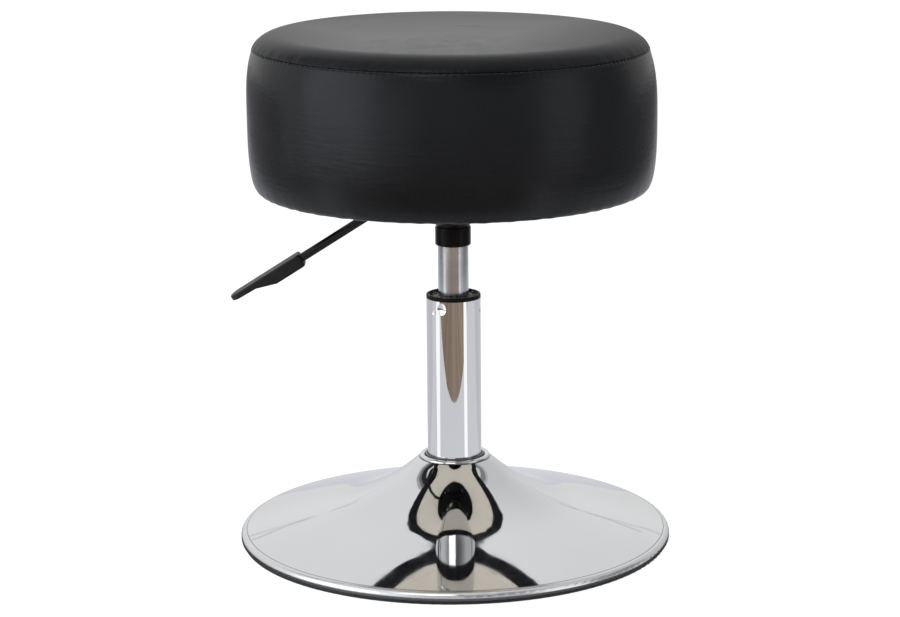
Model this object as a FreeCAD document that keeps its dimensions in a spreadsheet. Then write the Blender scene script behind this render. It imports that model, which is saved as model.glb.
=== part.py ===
import FreeCAD, Part
import os
import math
import Sketcher
from FreeCAD import Placement, Rotation, Vector

# Swivel stool with a gas lift on a round trumpet base.
# +Z is up, the floor is Z = 0, the lift's axis is the Z axis and the release lever points to -X.

# Driving sizes in millimetres, angles in degrees
SIZES = {
    # spun base shell
    "base_diameter": 399,
    "base_sheet": 1.5,
    "foot_show": 4,
    "lip_height": 2.5,
    "rim_round": 5,
    "rim_slope": 15.9,
    "rim_pull": 57.7,
    "knee_radius": 103.7,
    "knee_height": 32.4,
    "knee_slope": 20.4,
    "bell_radius": 50.6,
    "bell_height": 60.2,
    "bell_slope": 32,
    "neck_height": 77.7,
    "neck_slope": 37,
    "neck_pull": 8.2,
    "bead_width": 5.6,
    "collar_depth": 8,
    # ring between the base and the floor
    "ring_width": 9,
    "ring_edge": 1.6,
    # tapered socket and its braces
    "socket_wall": 2,
    "socket_show": 0.5,
    "socket_reveal": 4,
    "gusset_reach": 105,
    "gusset_sheet": 4,
    "gusset_low": 22,
    # column tube
    "tube_diameter": 50,
    "tube_wall": 1.5,
    "column_height": 228.6,
    "column_low": 14,
    "wedge_slope": 0.025,
    "dent_round": 16,
    "dent_depth": 1,
    "dent_drop": 6.8,
    "dent_turn": 26,
    "mark_round": 5,
    "mark_depth": 0.7,
    "mark_drop": 10.8,
    "mark_turn": 45.5,
    # guide bush in the top of the tube
    "flange_height": 3.6,
    "flange_round": 1,
    "flange_rim": 2.6,
    "flange_dish": 2.6,
    "flange_slope": 0.4,
    "wiper_width": 1.6,
    "wiper_slope": 0.6,
    "wiper_drop": 1.8,
    "bush_length": 80,
    "bush_relief": 0.6,
    "bush_land": 12,
    # closing plate and thrust bearing
    "plate_lift": 1,
    "plate_sheet": 4,
    "race_radius": 13,
    "race_sheet": 1.6,
    "ball_diameter": 4,
    "ball_circle": 9.4,
    "ball_count": 10,
    "cage_sheet": 2,
    "cage_width": 6,
    # piston rod with its clip and stop
    "rod_diameter": 10,
    "rod_chamfer": 0.6,
    "spigot_diameter": 7,
    "spigot_over": 1.5,
    "tail_diameter": 8,
    "tail_length": 6,
    "groove_depth": 1,
    "clip_sheet": 1.2,
    "clip_radius": 7,
    "clip_opening": 4.8,
    "clip_washer_radius": 8.5,
    "clip_washer_sheet": 1.4,
    "stop_height": 8,
    "stop_radius": 12,
    "stop_round": 2,
    "piston_length": 12,
    "piston_stop": 2,
    "piston_ring_height": 2.4,
    "piston_ring_depth": 2,
    # gas cylinder
    "lift_down": 40,
    "lift_up": 60,
    "cylinder_diameter": 28,
    "cylinder_wall": 1.5,
    "cylinder_show": 45.6,
    "cylinder_round": 1,
    "guide_length": 12,
    "seal_length": 4,
    "pressure_wall": 1,
    "pressure_space": 2,
    "pressure_foot": 3,
    "cone_length": 38,
    # release valve
    "valve_inset": 2,
    "valve_drop": 1,
    "chamber_space": 3,
    "chamber_height": 14,
    "valve_land": 4,
    "valve_seal_height": 2.6,
    "valve_seal_width": 1.8,
    "pin_diameter": 6,
    "pin_show": 5.6,
    "pin_dome": 0.8,
    "pin_tip_diameter": 2.4,
    "pin_foot_height": 4,
    "pin_foot_over": 2,
    # hub, bracket and plate under the seat
    "hub_radius": 16.4,
    "hub_length": 17.4,
    "hub_over": 2,
    "hub_chamfer": 0.8,
    "hub_shoulder": 1.2,
    "hub_groove": 1.2,
    "collar_radius": 17.4,
    "weld_width": 3.4,
    "weld_height": 4,
    "bracket_length": 100,
    "bracket_width": 46,
    "bracket_depth": 22,
    "bracket_sheet": 2.5,
    "bracket_bend": 4,
    "plate_diameter": 132,
    "plate_edge": 1,
    "seat_plate_sheet": 2.5,
    "bolt_square": 68,
    "bolt_diameter": 6,
    "bolt_length": 19,
    "head_across": 10,
    "head_height": 4,
    "washer_radius": 6.5,
    "washer_sheet": 1.2,
    # release lever
    "pivot_reach": 44,
    "pivot_diameter": 3,
    "pivot_over": 3,
    "pivot_head_over": 1.5,
    "pivot_head_height": 2,
    "pivot_clip_over": 2,
    "pivot_clip_sheet": 1,
    "barrel_radius": 4.4,
    "lever_diameter": 8,
    "lever_inner": 6,
    "lever_slope": 32.2,
    "lever_bend": 12,
    "lever_length": 111.3,
    "lever_lift": 0.8,
    "handle_length": 75,
    "handle_width": 21,
    "handle_grip": 24,
    "handle_above": 5.7,
    "handle_below": 6.7,
    "handle_body": 31,
    "handle_ramp": 19,
    "handle_tongue": 6,
    "handle_edge": 1.3,
    "tongue_taper": 0.8,
    "tip_flat": 0.5,
    "root_round": 4.2,
    # cushion
    "seat_diameter": 370.6,
    "seat_height": 146.2,
    "foam_edge": 15.3,
    "board_sheet": 15,
    "cover_sheet": 1.2,
    "cloth_sheet": 0.6,
    "hem_width": 46,
    "seam_inset": 9.6,
    "seam_drop": 16,
    "seam_depth": 1.2,
    "stitch_inset": 7,
    "stitch_drop": 21.2,
    "waist_drop": 88,
    "corner_inset": 12,
    "crown_pull": 125,
    "seam_slope": 45,
    "seam_pull": 20,
    "side_slope": 71,
    "side_pull": 22,
    "waist_pull": 25,
    "corner_pull": 33,
    "hem_pull": 10,
    "strip_round": 5,
    "foam_step_in": 1,
    "foam_step_down": 2,
    "cloth_ease": 1,
    "cloth_inset": 31,
    "nut_radius": 9,
    "nut_flange": 1.5,
    "nut_barrel": 4,
    # clearances
    "press_gap": 0.05,
    "run_gap": 0.1,
    "weld_gap": 0.1,
    "seam_gap": 0.1,
    "part_gap": 0.3,
}

doc = FreeCAD.newDocument("swivel_stool")
sheet = doc.addObject("Spreadsheet::Sheet", "dims")
for row, (alias, number) in enumerate(SIZES.items(), start=1):
    sheet.set(f"A{row}", alias)
    sheet.set(f"B{row}", str(number))
    sheet.setAlias(f"B{row}", alias)
doc.recompute()

nodes = {}


def size(expression):
    """Value of an expression of the sheet's cells, in millimetres."""
    found = sheet.evalExpression(expression)
    return float(getattr(found, "Value", found))


def bind(item, prop, expression):
    item.setExpression(prop, expression)


def plane_of(body, role):
    return [plane for plane in body.Origin.OriginFeatures if plane.Role == role][0]


def new_body(name):
    body = doc.addObject("PartDesign::Body", name)
    body.Label = name
    body.AllowCompound = True
    return body


def new_sketch(body, name, role, lift=None):
    sketch = body.newObject("Sketcher::SketchObject", name)
    sketch.AttachmentSupport = [(plane_of(body, role), "")]
    sketch.MapMode = "FlatFace"
    if lift:
        bind(sketch, "AttachmentOffset.Base.z", lift)
    return sketch


def hold(sketch, kind, geometry, place, expression):
    """One driving distance from the sketch origin to a point."""
    index = sketch.addConstraint(Sketcher.Constraint(kind, -1, 1, geometry, place, size(expression)))
    bind(sketch, f"Constraints[{index}]", expression)


def pin_point(sketch, geometry, place, point):
    across, along = point
    if across == "0":
        sketch.addConstraint(Sketcher.Constraint("PointOnObject", geometry, place, -2))
    else:
        hold(sketch, "DistanceX", geometry, place, across)
    if along == "0":
        sketch.addConstraint(Sketcher.Constraint("PointOnObject", geometry, place, -1))
    else:
        hold(sketch, "DistanceY", geometry, place, along)


def arc_between(start, end, radius, turn):
    """Circle arc from start to end that bulges to the left (turn -1) or right (turn 1) of the way."""
    middle = (start + end) * 0.5
    chord = end - start
    reach = math.sqrt(max(radius ** 2 - (chord.Length / 2) ** 2, 0))
    side = Vector(-chord.y, chord.x, 0).normalize() * turn
    centre = middle + side * reach
    first = start if turn > 0 else end
    last = end if turn > 0 else start
    angles = [math.atan2(spot.y - centre.y, spot.x - centre.x) for spot in (first, last)]
    return Part.ArcOfCircle(Part.Circle(centre, Vector(0, 0, 1), radius), angles[0], angles[1])


def step_end(step):
    """Point where a step of an outline ends."""
    if step[0] == "arc":
        return step[1]
    if step[0] == "curve":
        return step[-1]
    return step


def draw(sketch, outline, closed=True):
    """Outline of points and steps; every point is bound to the sheet.

    A step is a point (straight line), ("arc", point, radius, turn) or ("curve", three or more poles).
    """
    first = outline[0]
    steps = list(outline[1:])
    if closed and step_end(steps[-1]) != first:
        steps.append(first)
    here = first
    joints = []
    for number, step in enumerate(steps):
        spot = Vector(size(here[0]), size(here[1]), 0)
        kind = step[0] if step[0] in ("arc", "curve") else "line"
        goal = step_end(step)
        target = Vector(size(goal[0]), size(goal[1]), 0)
        head, tail = 1, 2
        if kind == "line":
            geometry = sketch.addGeometry(Part.LineSegment(spot, target), False)
        elif kind == "arc":
            radius = size(step[2])
            geometry = sketch.addGeometry(arc_between(spot, target, radius, step[3]), False)
            if step[3] < 0:
                head, tail = 2, 1
            index = sketch.addConstraint(Sketcher.Constraint("Radius", geometry, radius))
            bind(sketch, f"Constraints[{index}]", step[2])
        else:
            poles = [spot] + [Vector(size(p[0]), size(p[1]), 0) for p in step[1:]]
            spans = len(poles) - 3
            knots = [place / spans for place in range(spans + 1)]
            curve = Part.BSplineCurve()
            curve.buildFromPolesMultsKnots(poles, [4] + [1] * (spans - 1) + [4], knots, False, 3)
            geometry = sketch.addGeometry(curve, False)
            sketch.exposeInternalGeometry(geometry)
            for place, pole in enumerate(step[1:-1], start=2):
                pin_point(sketch, geometry + place, 3, pole)
        pin_point(sketch, geometry, head, here)
        if joints:
            before = joints[-1]
            sketch.addConstraint(Sketcher.Constraint("Coincident", before[1], before[2], geometry, head))
        joints.append((head, geometry, tail))
        here = goal
        if closed and number == len(steps) - 1:
            start = joints[0]
            sketch.addConstraint(Sketcher.Constraint("Coincident", geometry, tail, start[1], start[0]))
        elif number == len(steps) - 1:
            pin_point(sketch, geometry, tail, goal)


def draw_circle(sketch, point, radius):
    spot = Vector(size(point[0]), size(point[1]), 0)
    geometry = sketch.addGeometry(Part.Circle(spot, Vector(0, 0, 1), size(radius)), False)
    index = sketch.addConstraint(Sketcher.Constraint("Radius", geometry, size(radius)))
    bind(sketch, f"Constraints[{index}]", radius)
    pin_point(sketch, geometry, 3, point)


def bend(start, end, inset="0"):
    """Smooth curve between two (across, along, direction, pull) ends, moved to its right by inset."""
    poles = []
    for (across, along, angle, pull), sign in ((start, 1), (end, -1)):
        turned_x = f"cos({angle} * 1 deg)"
        turned_y = f"sin({angle} * 1 deg)"
        spot = (f"{across} + {inset} * {turned_y}", f"{along} - {inset} * {turned_x}")
        handle = (f"{spot[0]} + {sign} * {pull} * {turned_x}", f"{spot[1]} + {sign} * {pull} * {turned_y}")
        poles += [spot, handle] if sign > 0 else [handle, spot]
    return poles


def turn_body(name, outline):
    """A turned or spun piece: its half outline in the XZ plane, revolved about the Z axis."""
    body = new_body(name)
    sketch = new_sketch(body, name + "_outline", "XZ_Plane")
    draw(sketch, outline)
    spin = body.newObject("PartDesign::Revolution", name + "_spin")
    spin.Profile = sketch
    spin.ReferenceAxis = (sketch, ["V_Axis"])
    spin.Angle = 360
    nodes[name] = body
    return body


def ring(name, inner, outer, low, high):
    return turn_body(name, [(inner, low), (outer, low), (outer, high), (inner, high)])


def pad(body, name, sketch, length, midplane=False, reverse=False):
    feature = body.newObject("PartDesign::Pad", name)
    feature.Profile = sketch
    bind(feature, "Length", length)
    feature.Midplane = midplane
    feature.Reversed = reverse
    return feature


def pocket(body, name, sketch, length, midplane=False, reverse=False):
    feature = body.newObject("PartDesign::Pocket", name)
    feature.Profile = sketch
    bind(feature, "Length", length)
    feature.Midplane = midplane
    feature.Reversed = reverse
    return feature


def round_edges(body, name, wanted, radius):
    """Fillet of the body's edges that the test accepts."""
    doc.recompute()
    base = body.Tip
    names = [f"Edge{i}" for i, edge in enumerate(base.Shape.Edges, start=1) if wanted(edge)]
    feature = body.newObject("PartDesign::Fillet", name)
    feature.Base = (base, names)
    bind(feature, "Radius", radius)
    return feature


def four_around(body, name, features):
    """The same features at the four corners of the bolt square."""
    pattern = body.newObject("PartDesign::PolarPattern", name)
    pattern.Originals = features
    pattern.Axis = ([axis for axis in body.Origin.OriginFeatures if axis.Role == "Z_Axis"][0], [""])
    pattern.Angle = 360
    pattern.Occurrences = 4
    body.Tip = pattern
    return pattern


# Base shell: a steep bell under the neck runs at a knee into a shallow cone that ends in the rolled rim
base_radius = "(dims.base_diameter / 2)"
tube_radius = "(dims.tube_diameter / 2)"
socket_outer = f"({tube_radius} + dims.run_gap + dims.socket_wall)"
bead_inner = f"({socket_outer} + dims.weld_gap)"
bead_middle = f"({bead_inner} + dims.bead_width / 2)"
bead_outer = f"({bead_inner} + dims.bead_width)"
rim_centre = (f"{base_radius} - dims.rim_round", "dims.foot_show + dims.lip_height")
rim_end = (
    f"{rim_centre[0]} + dims.rim_round * sin(dims.rim_slope * 1 deg)",
    f"{rim_centre[1]} + dims.rim_round * cos(dims.rim_slope * 1 deg)",
)
flare_top = (bead_outer, "dims.neck_height", "-dims.neck_slope", "dims.neck_pull")
flare_foot = (rim_end[0], rim_end[1], "-dims.rim_slope", "dims.rim_pull")


def flare(inset="0"):
    """Poles of the flare's curve from the neck to the rim, moved under it by inset."""
    poles = bend(flare_top, flare_foot, inset)
    for place, part in ((2, "bell"), (3, "knee")):
        across = f"dims.{part}_radius - {inset} * sin(dims.{part}_slope * 1 deg)"
        along = f"dims.{part}_height - {inset} * cos(dims.{part}_slope * 1 deg)"
        poles.insert(place, (across, along))
    return poles


flare_over = flare()
flare_under = flare("dims.base_sheet")
turn_body("base_shell", [
    (bead_inner, "dims.neck_height"),
    ("arc", (bead_middle, "dims.neck_height + dims.bead_width / 2"), "dims.bead_width / 2", -1),
    ("arc", flare_over[0], "dims.bead_width / 2", -1),
    ("curve", *flare_over[1:]),
    ("arc", (base_radius, rim_centre[1]), "dims.rim_round", -1),
    (base_radius, "dims.foot_show"),
    (f"{base_radius} - dims.base_sheet", "dims.foot_show"),
    (f"{base_radius} - dims.base_sheet", rim_centre[1]),
    ("arc", flare_under[-1], "dims.rim_round - dims.base_sheet", 1),
    ("curve", *flare_under[-2::-1]),
    (f"{bead_inner} + dims.base_sheet", "dims.neck_height - dims.base_sheet"),
    (f"{bead_inner} + dims.base_sheet", "dims.neck_height - dims.collar_depth"),
    (bead_inner, "dims.neck_height - dims.collar_depth"),
])

# Rubber ring tucked inside the rim, flat on the floor
ring_outer = f"({base_radius} - dims.base_sheet - dims.part_gap)"
ring_inner = f"({base_radius} - dims.base_sheet - dims.ring_width)"
ring_shoulder = "(dims.rim_round - dims.base_sheet - dims.part_gap)"
turn_body("floor_ring", [
    (f"{ring_inner} + dims.ring_edge", "0"),
    (f"{ring_outer} - dims.ring_edge", "0"),
    ("arc", (ring_outer, "dims.ring_edge"), "dims.ring_edge", 1),
    (ring_outer, rim_centre[1]),
    ("arc", (f"{ring_outer} - {ring_shoulder}", f"{rim_centre[1]} + {ring_shoulder}"), ring_shoulder, 1),
    (ring_inner, f"{rim_centre[1]} + {ring_shoulder}"),
    (ring_inner, "dims.ring_edge"),
    ("arc", (f"{ring_inner} + dims.ring_edge", "0"), "dims.ring_edge", 1),
])

# Tapered socket in the neck, and the column tube wedged into it
socket_top = "(dims.neck_height + dims.bead_width / 2 + dims.socket_show)"
socket_low = "(dims.column_low + dims.socket_reveal)"


def wedge(height):
    """How far the column has narrowed at a height inside the socket."""
    return f"(dims.wedge_slope * ({socket_top} - {height}))"


socket_chamfer = f"({socket_top} - 2 * dims.socket_show)"
mouth = f"({tube_radius} + dims.run_gap)"
turn_body("socket_sleeve", [
    (f"{mouth} - {wedge(socket_low)}", socket_low),
    (socket_outer, socket_low),
    (socket_outer, f"{socket_top} - dims.socket_show"),
    (f"{socket_outer} - dims.socket_show", socket_top),
    (f"{mouth} + dims.socket_show", socket_top),
    (f"{mouth} - {wedge(socket_chamfer)}", socket_chamfer),
])

tube_bore = f"({tube_radius} - dims.tube_wall)"
turn_body("tube_blank", [
    (f"{tube_radius} - {wedge('dims.column_low')}", "dims.column_low"),
    (tube_radius, socket_top),
    (tube_radius, "dims.column_height"),
    (tube_bore, "dims.column_height"),
    (tube_bore, socket_top),
    (f"{tube_bore} - {wedge('dims.column_low')}", "dims.column_low"),
])
tube_blank = nodes.pop("tube_blank")

# Three broad dents that lock the bush, each with a small punch mark beside it
dents = []
for third in range(3):
    for kind in ("dent", "mark"):
        angle = f"(270 - dims.{kind}_turn + {third} * 120) * 1 deg"
        dent = doc.addObject("Part::Sphere", kind)
        bind(dent, "Radius", f"dims.{kind}_round")
        reach = f"({tube_radius} + dims.{kind}_round - dims.{kind}_depth)"
        bind(dent, "Placement.Base.x", f"{reach} * cos({angle})")
        bind(dent, "Placement.Base.y", f"{reach} * sin({angle})")
        bind(dent, "Placement.Base.z", f"dims.column_height - dims.{kind}_drop")
        dents.append(dent)
dent_group = doc.addObject("Part::MultiFuse", "dent_group")
dent_group.Shapes = dents
column_tube = doc.addObject("Part::Cut", "column_tube")
column_tube.Base = tube_blank
column_tube.Tool = dent_group
nodes["column_tube"] = column_tube

# Four plates between the socket and the underside of the shell
flare_inside = flare("(dims.base_sheet + dims.weld_gap)")
under_inner = f"({socket_outer} + dims.weld_gap)"
turn_body("under_space", [
    (under_inner, "0"),
    (under_inner, "dims.neck_height - dims.collar_depth - dims.weld_gap"),
    (flare_inside[0][0], "dims.neck_height - dims.collar_depth - dims.weld_gap"),
    flare_inside[0],
    ("curve", *flare_inside[1:]),
    (flare_inside[-1][0], "0"),
])
under_space = nodes.pop("under_space")
braces = []
for angle in (45, 135):
    brace = doc.addObject("Part::Box", "brace")
    bind(brace, "Length", "2 * dims.gusset_reach")
    bind(brace, "Width", "dims.gusset_sheet")
    bind(brace, "Height", "dims.neck_height")
    turn_x = f"cos({angle} deg)"
    turn_y = f"sin({angle} deg)"
    brace.Placement = Placement(Vector(0, 0, 0), Rotation(Vector(0, 0, 1), angle))
    bind(brace, "Placement.Base.x", f"dims.gusset_sheet / 2 * {turn_y} - dims.gusset_reach * {turn_x}")
    bind(brace, "Placement.Base.y", f"-dims.gusset_sheet / 2 * {turn_x} - dims.gusset_reach * {turn_y}")
    bind(brace, "Placement.Base.z", "dims.gusset_low")
    braces.append(brace)
brace_cross = doc.addObject("Part::MultiFuse", "brace_cross")
brace_cross.Shapes = braces
gussets = doc.addObject("Part::Common", "socket_gussets")
gussets.Base = brace_cross
gussets.Tool = under_space
nodes["socket_gussets"] = gussets

# Guide bush: flange on the tube, two guiding lands and a relieved middle
cylinder_radius = "(dims.cylinder_diameter / 2)"
bush_bore = f"({cylinder_radius} + dims.run_gap)"
bush_low = "(dims.column_height - dims.bush_length)"
flange_top = "(dims.column_height + dims.flange_height)"
bush_outer = f"({tube_bore} - dims.press_gap)"
turn_body("guide_bush", [
    (bush_bore, bush_low),
    (bush_outer, bush_low),
    (bush_outer, "dims.column_height"),
    (tube_radius, "dims.column_height"),
    (tube_radius, f"{flange_top} - dims.flange_round"),
    ("arc", (f"{tube_radius} - dims.flange_round", flange_top), "dims.flange_round", 1),
    (f"{tube_radius} - dims.flange_rim", flange_top),
    (f"{tube_radius} - dims.flange_rim - dims.flange_slope", f"{flange_top} - dims.flange_dish"),
    (f"{bush_bore} + dims.wiper_width + dims.wiper_slope", f"{flange_top} - dims.flange_dish"),
    (f"{bush_bore} + dims.wiper_width", f"{flange_top} - dims.wiper_drop"),
    (bush_bore, f"{flange_top} - dims.wiper_drop"),
    (bush_bore, "dims.column_height - dims.bush_land"),
    (f"{bush_bore} + dims.bush_relief", "dims.column_height - dims.bush_land - dims.bush_relief"),
    (f"{bush_bore} + dims.bush_relief", f"{bush_low} + dims.bush_land + dims.bush_relief"),
    (bush_bore, f"{bush_low} + dims.bush_land"),
])

# Plate in the tube's lower end, with the thrust bearing on it
rod_radius = "(dims.rod_diameter / 2)"
tail_radius = "(dims.tail_diameter / 2)"
plate_low = "(dims.column_low + dims.plate_lift)"
plate_top = f"({plate_low} + dims.plate_sheet)"
turn_body("column_plate", [
    (f"{tail_radius} + dims.run_gap", plate_low),
    (f"{tube_bore} - {wedge(plate_low)} - dims.press_gap", plate_low),
    (f"{tube_bore} - {wedge(plate_top)} - dims.press_gap", plate_top),
    (f"{tail_radius} + dims.run_gap", plate_top),
])
ball_middle = f"({plate_top} + dims.race_sheet + dims.press_gap + dims.ball_diameter / 2)"
upper_race_low = f"({ball_middle} + dims.ball_diameter / 2 + dims.press_gap)"
shoulder = f"({upper_race_low} + dims.race_sheet)"
race_bore = f"({tail_radius} + dims.part_gap)"
ring("lower_race", race_bore, "dims.race_radius", plate_top, f"{plate_top} + dims.race_sheet")
ring("upper_race", f"{tail_radius} + dims.press_gap", "dims.race_radius", upper_race_low, shoulder)

# Balls and their cage
ball_balls = []
for number in range(int(size("dims.ball_count"))):
    ball = doc.addObject("Part::Sphere", "ball")
    bind(ball, "Radius", "dims.ball_diameter / 2")
    bind(ball, "Placement.Base.x", f"dims.ball_circle * cos({number} * 360 deg / dims.ball_count)")
    bind(ball, "Placement.Base.y", f"dims.ball_circle * sin({number} * 360 deg / dims.ball_count)")
    bind(ball, "Placement.Base.z", ball_middle)
    ball_balls.append(ball)
bearing_balls = doc.addObject("Part::Compound", "bearing_balls")
bearing_balls.Links = ball_balls
nodes["bearing_balls"] = bearing_balls

cage = ring(
    "ball_cage",
    "dims.ball_circle - dims.cage_width / 2",
    "dims.ball_circle + dims.cage_width / 2",
    f"{ball_middle} - dims.cage_sheet / 2",
    f"{ball_middle} + dims.cage_sheet / 2",
)
seat_sketch = new_sketch(cage, "ball_seat", "XY_Plane", ball_middle)
draw_circle(seat_sketch, ("dims.ball_circle", "0"), "dims.ball_diameter / 2 + dims.run_gap")
ball_hole = pocket(cage, "ball_hole", seat_sketch, "2 * dims.cage_sheet", midplane=True)
ball_holes = cage.newObject("PartDesign::PolarPattern", "ball_holes")
ball_holes.Originals = [ball_hole]
ball_holes.Axis = ([axis for axis in cage.Origin.OriginFeatures if axis.Role == "Z_Axis"][0], [""])
ball_holes.Angle = 360
bind(ball_holes, "Occurrences", "dims.ball_count")
cage.Tip = ball_holes

# Piston rod: grooved tail through the plate, shoulder on the bearing, neck through the piston
washer_top = f"({plate_low} - dims.part_gap)"
washer_low = f"({washer_top} - dims.clip_washer_sheet)"
clip_top = f"({washer_low} - dims.press_gap)"
clip_low = f"({clip_top} - dims.clip_sheet)"
tail_low = f"({plate_low} - dims.tail_length)"
groove_radius = f"({tail_radius} - dims.groove_depth)"
stop_top = f"({shoulder} + dims.stop_height)"
cylinder_low = f"({stop_top} + dims.part_gap + dims.lift_down)"
lip_sheet = "dims.cylinder_wall"
guide_low = f"({cylinder_low} + {lip_sheet} + dims.press_gap)"
guide_top = f"({guide_low} + dims.guide_length)"
seal_low = f"({guide_top} + dims.press_gap)"
seal_top = f"({seal_low} + dims.seal_length)"
pressure_low = f"({seal_top} + dims.press_gap)"
piston_low = f"({pressure_low} + dims.lift_up + dims.piston_stop)"
piston_top = f"({piston_low} + dims.piston_length)"
spigot_radius = "(dims.spigot_diameter / 2)"
turn_body("piston_rod", [
    ("0", tail_low),
    (f"{tail_radius} - dims.rod_chamfer", tail_low),
    (tail_radius, f"{tail_low} + dims.rod_chamfer"),
    (tail_radius, f"{clip_low} - dims.press_gap"),
    (groove_radius, f"{clip_low} - dims.press_gap"),
    (groove_radius, f"{clip_top} + dims.press_gap"),
    (tail_radius, f"{clip_top} + dims.press_gap"),
    (tail_radius, shoulder),
    (rod_radius, shoulder),
    (rod_radius, piston_low),
    (spigot_radius, piston_low),
    (spigot_radius, f"{piston_top} + dims.spigot_over"),
    ("0", f"{piston_top} + dims.spigot_over"),
])
ring("clip_washer", f"{tail_radius} + dims.press_gap", "dims.clip_washer_radius", washer_low, washer_top)
clip = ring("rod_clip", f"{groove_radius} + dims.press_gap", "dims.clip_radius", clip_low, clip_top)
clip_mouth = new_sketch(clip, "clip_mouth", "XY_Plane", f"({clip_low} + {clip_top}) / 2")
draw(clip_mouth, [
    ("0", "-dims.clip_opening / 2"),
    ("2 * dims.clip_radius", "-dims.clip_opening / 2"),
    ("2 * dims.clip_radius", "dims.clip_opening / 2"),
    ("0", "dims.clip_opening / 2"),
])
pocket(clip, "clip_gap", clip_mouth, "4 * dims.clip_sheet", midplane=True)

turn_body("bump_stop", [
    (f"{rod_radius} + dims.press_gap", shoulder),
    ("dims.stop_radius", shoulder),
    ("dims.stop_radius", f"{stop_top} - dims.stop_round"),
    ("arc", ("dims.stop_radius - dims.stop_round", stop_top), "dims.stop_round", 1),
    (f"{rod_radius} + dims.press_gap", stop_top),
])

# Piston with its sealing ring
cylinder_bore = f"({cylinder_radius} - dims.cylinder_wall)"
pressure_outer = f"({cylinder_bore} - dims.pressure_space)"
pressure_bore = f"({pressure_outer} - dims.pressure_wall)"
piston_radius = f"({pressure_bore} - dims.part_gap)"
ring_groove = f"({piston_radius} - dims.piston_ring_depth)"
groove_low = f"({piston_low} + (dims.piston_length - dims.piston_ring_height) / 2)"
groove_top = f"({groove_low} + dims.piston_ring_height)"
turn_body("piston", [
    (f"{spigot_radius} + dims.press_gap", piston_low),
    (piston_radius, piston_low),
    (piston_radius, groove_low),
    (ring_groove, groove_low),
    (ring_groove, groove_top),
    (piston_radius, groove_top),
    (piston_radius, piston_top),
    (f"{spigot_radius} + dims.press_gap", piston_top),
])
ring(
    "piston_ring",
    f"{ring_groove} + dims.press_gap",
    f"{pressure_bore} - dims.run_gap",
    f"{groove_low} + dims.press_gap",
    f"{groove_top} - dims.press_gap",
)

# Gas cylinder: rolled lip below, tapered top wedged in the hub
hub_low = f"({flange_top} + dims.cylinder_show)"
cone_top = f"({hub_low} + dims.cone_length)"
cone_narrow = "(dims.wedge_slope * dims.cone_length)"
turn_body("gas_cylinder", [
    (f"{cylinder_bore} - dims.cylinder_wall", cylinder_low),
    (f"{cylinder_radius} - dims.cylinder_round", cylinder_low),
    ("arc", (cylinder_radius, f"{cylinder_low} + dims.cylinder_round"), "dims.cylinder_round", 1),
    (cylinder_radius, hub_low),
    (f"{cylinder_radius} - {cone_narrow}", cone_top),
    (f"{cylinder_bore} - {cone_narrow}", cone_top),
    (cylinder_bore, hub_low),
    (cylinder_bore, f"{cylinder_low} + {lip_sheet}"),
    (f"{cylinder_bore} - dims.cylinder_wall", f"{cylinder_low} + {lip_sheet}"),
])
guide_outer = f"({cylinder_bore} - dims.press_gap)"
ring("rod_guide", f"{rod_radius} + dims.run_gap", guide_outer, guide_low, guide_top)
ring("rod_seal", f"{rod_radius} + dims.run_gap", guide_outer, seal_low, seal_top)
valve_low = f"({hub_low} + dims.valve_inset)"
valve_top = f"({cone_top} - dims.valve_drop)"
turn_body("pressure_tube", [
    (pressure_bore, pressure_low),
    (f"{cylinder_bore} - dims.press_gap", pressure_low),
    (f"{cylinder_bore} - dims.press_gap", f"{pressure_low} + dims.pressure_foot"),
    (pressure_outer, f"{pressure_low} + dims.pressure_foot"),
    (pressure_outer, f"{valve_low} - dims.press_gap"),
    (pressure_bore, f"{valve_low} - dims.press_gap"),
])

# Release valve in the top of the cylinder
pin_radius = "(dims.pin_diameter / 2)"
pin_bore = f"({pin_radius} + dims.run_gap)"
chamber = f"({pin_radius} + dims.chamber_space)"
chamber_top = f"({valve_low} + dims.chamber_height)"
seal_groove = f"({chamber_top} + dims.valve_land)"
seal_groove_top = f"({seal_groove} + dims.valve_seal_height)"
seal_outer = f"({pin_bore} + dims.valve_seal_width)"
valve_outer = f"({cylinder_bore} - dims.press_gap)"
turn_body("valve_body", [
    (chamber, valve_low),
    (f"{valve_outer} - dims.wedge_slope * dims.valve_inset", valve_low),
    (f"{valve_outer} - {cone_narrow} + dims.wedge_slope * dims.valve_drop", valve_top),
    (pin_bore, valve_top),
    (pin_bore, seal_groove_top),
    (seal_outer, seal_groove_top),
    (seal_outer, seal_groove),
    (pin_bore, seal_groove),
    (pin_bore, chamber_top),
    (chamber, chamber_top),
])
ring(
    "valve_seal",
    f"{pin_radius} + dims.run_gap",
    f"{seal_outer} - dims.press_gap",
    f"{seal_groove} + dims.press_gap",
    f"{seal_groove_top} - dims.press_gap",
)
pin_top = f"({cone_top} + dims.pin_show)"
turn_body("valve_pin", [
    ("0", f"{chamber_top} - dims.pin_foot_height"),
    (f"{pin_radius} + dims.pin_foot_over", f"{chamber_top} - dims.pin_foot_height"),
    (f"{pin_radius} + dims.pin_foot_over", f"{chamber_top} - dims.part_gap"),
    (pin_radius, f"{chamber_top} - dims.part_gap"),
    (pin_radius, f"{pin_top} - dims.pin_dome"),
    ("dims.pin_tip_diameter / 2", pin_top),
    ("0", pin_top),
])

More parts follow.
